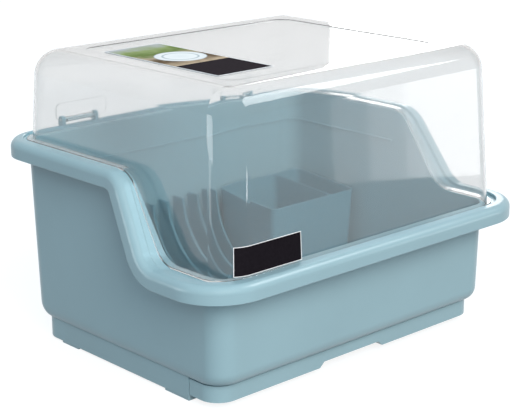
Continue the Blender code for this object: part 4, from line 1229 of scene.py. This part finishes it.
def printed_picture():
    """A plain picture of a white plate on a table, with green behind it."""
    material, tree, shader, _ = new_material("picture_print")
    place = add_node(tree, "TexCoord").outputs["Object"]
    along = add_node(tree, "SeparateXYZ", {"Vector": place}).outputs["Y"]
    waver = uneven(tree, PICTURE_WAVER_SCALE, PICTURE_WAVER_DETAIL, -PICTURE_WAVER, PICTURE_WAVER)
    depth = remap(tree, calculate(tree, "ADD", waver, along), PICTURE_FRONT, PICTURE_BACK)
    table = ramp(tree, depth, PICTURE_TABLE)
    middle = (PLATE_X, PLATE_Y, LID_LABEL_UNDERSIDE + LABEL_THICKNESS)
    distance = add_node(tree, "VectorMath", {0: place, 1: middle}, operation="DISTANCE")
    away = distance.outputs["Value"]
    plate = ramp(tree, remap(tree, away, 0, PLATE_RADIUS), PICTURE_PLATE)
    on_plate = calculate(tree, "LESS_THAN", away, PLATE_RADIUS)
    fill_in(shader, {
        "Base Color": tinted(tree, on_plate, table, plate),
        "Roughness": uneven(tree, PRINTED["gloss_scale"], PRINTED["gloss_detail"], *PICTURE_ROUGHNESS),
        **PRINTED["inputs"],
    })
    return material


def seen_directly(tree):
    """1 for rays from the camera that at most a reflection or clear plastic sends on, else 0."""
    path = add_node(tree, "LightPath").outputs
    glossy = calculate(tree, "MAXIMUM", path["Is Camera Ray"], path["Is Glossy Ray"])
    sent_on = calculate(tree, "MAXIMUM", glossy, path["Is Transmission Ray"])
    undiffused = calculate(tree, "LESS_THAN", path["Diffuse Depth"], 1)
    return calculate(tree, "MULTIPLY", sent_on, undiffused)


# Stage


def make_world():
    world = bpy.data.worlds.new("world")
    bpy.context.scene.world = world
    world.use_nodes = True
    tree = world.node_tree
    direction = add_node(tree, "TexCoord").outputs["Generated"]
    height = add_node(tree, "SeparateXYZ", {"Vector": direction}).outputs["Z"]
    strength = remap(tree, height, 0, 1, SKY_AT_HORIZON, SKY_OVERHEAD)
    sky = tree.nodes["Background"]
    fill_in(sky, {"Color": SKY_COLOR, "Strength": strength})
    backdrop = add_node(tree, "Background", {"Color": WHITE, "Strength": 1})
    show_mix(tree, tree.nodes["World Output"], seen_directly(tree), sky, backdrop)


def make_floor():
    """A pale floor that keeps the shadow, with its lit part lifted to white."""
    half = FLOOR_SIZE / 2
    mesh = bpy.data.meshes.new("floor")
    corners = [(-half, -half, 0), (half, -half, 0), (half, half, 0), (-half, half, 0)]
    mesh.from_pydata(corners, [], [(0, 1, 2, 3)])
    floor = add_object("floor", mesh)
    material, tree, shader, output = new_material("floor_paint")
    tree.nodes.remove(shader)
    paint = add_node(tree, "BsdfDiffuse", {"Color": FLOOR_COLOR})
    lift = calculate(tree, "MULTIPLY", seen_directly(tree), FLOOR_LIFT)
    glow = add_node(tree, "Emission", {"Color": WHITE, "Strength": lift})
    both = add_node(tree, "AddShader", {0: paint.outputs[0], 1: glow.outputs[0]})
    fill_in(output, {"Surface": both.outputs[0]})
    mesh.materials.append(material)


def aim(obj, place, target=(0, 0, 0)):
    """Puts a lamp at a place and turns it towards a target."""
    obj.location = place
    obj.rotation_euler = (Vector(target) - Vector(place)).to_track_quat("-Z", "Y").to_euler()


def make_lamps():
    sun = bpy.data.lights.new("key", "SUN")
    sun.energy = SUN_STRENGTH
    sun.color = SUN_COLOR
    sun.angle = SUN_ANGLE
    key = add_object("key", sun)
    key.visible_glossy = False
    key.visible_transmission = False
    aim(key, SUN_FROM)
    for name, (place, target, width, height, brightness, use) in SOFTBOXES.items():
        softbox = bpy.data.lights.new(name, "AREA")
        softbox.shape = "RECTANGLE"
        softbox.size = width
        softbox.size_y = height
        softbox.energy = brightness * pi * width * height
        lamp = add_object(name, softbox)
        lamp.visible_camera = False
        lamp.visible_transmission = False
        lamp.visible_diffuse = use != "shine"
        lamp.visible_glossy = use != "light"
        aim(lamp, place, target)


def add_camera():
    data = bpy.data.cameras.new("camera")
    data.lens = CAMERA_LENS
    data.sensor_width = SENSOR_WIDTH
    camera = add_object("camera", data)
    camera.matrix_world = (
        Matrix.Translation(CAMERA_PLACE)
        @ Matrix.Rotation(-CAMERA_YAW, 4, "Z")
        @ Matrix.Rotation(QUARTER_TURN - CAMERA_PITCH, 4, "X")
        @ Matrix.Rotation(CAMERA_ROLL, 4, "Z")
    )
    bpy.context.scene.camera = camera


add_camera()
make_world()
make_lamps()
make_floor()
bpy.context.scene.view_settings.view_transform = "Standard"

blue = plain_surface("blue_plastic", *BLUE_PLASTIC, **MOULDED)
# The rack and the holder get the insert's plastic, whose colour carries painted shade
insert_with_painted_shade = plain_surface("insert_plastic", *INSERT_PLASTIC_WITH_PAINTED_SHADE, **MOULDED)
white = plain_surface("border_print", *WHITE_INK, **PRINTED)
make_tub(blue)
make_hinge_pins(plain_surface("pin_plastic", *PIN_PLASTIC, **MOULDED))
make_drip_tray(blue)
make_rack(insert_with_painted_shade)
make_holder(insert_with_painted_shade)
make_lid(clear_plastic())
make_lid_label(white, plain_surface("band_print", *BROWN_INK, **PRINTED), printed_picture())
make_corner_label(white, plain_surface("corner_print", *BLACK_INK, **PRINTED))
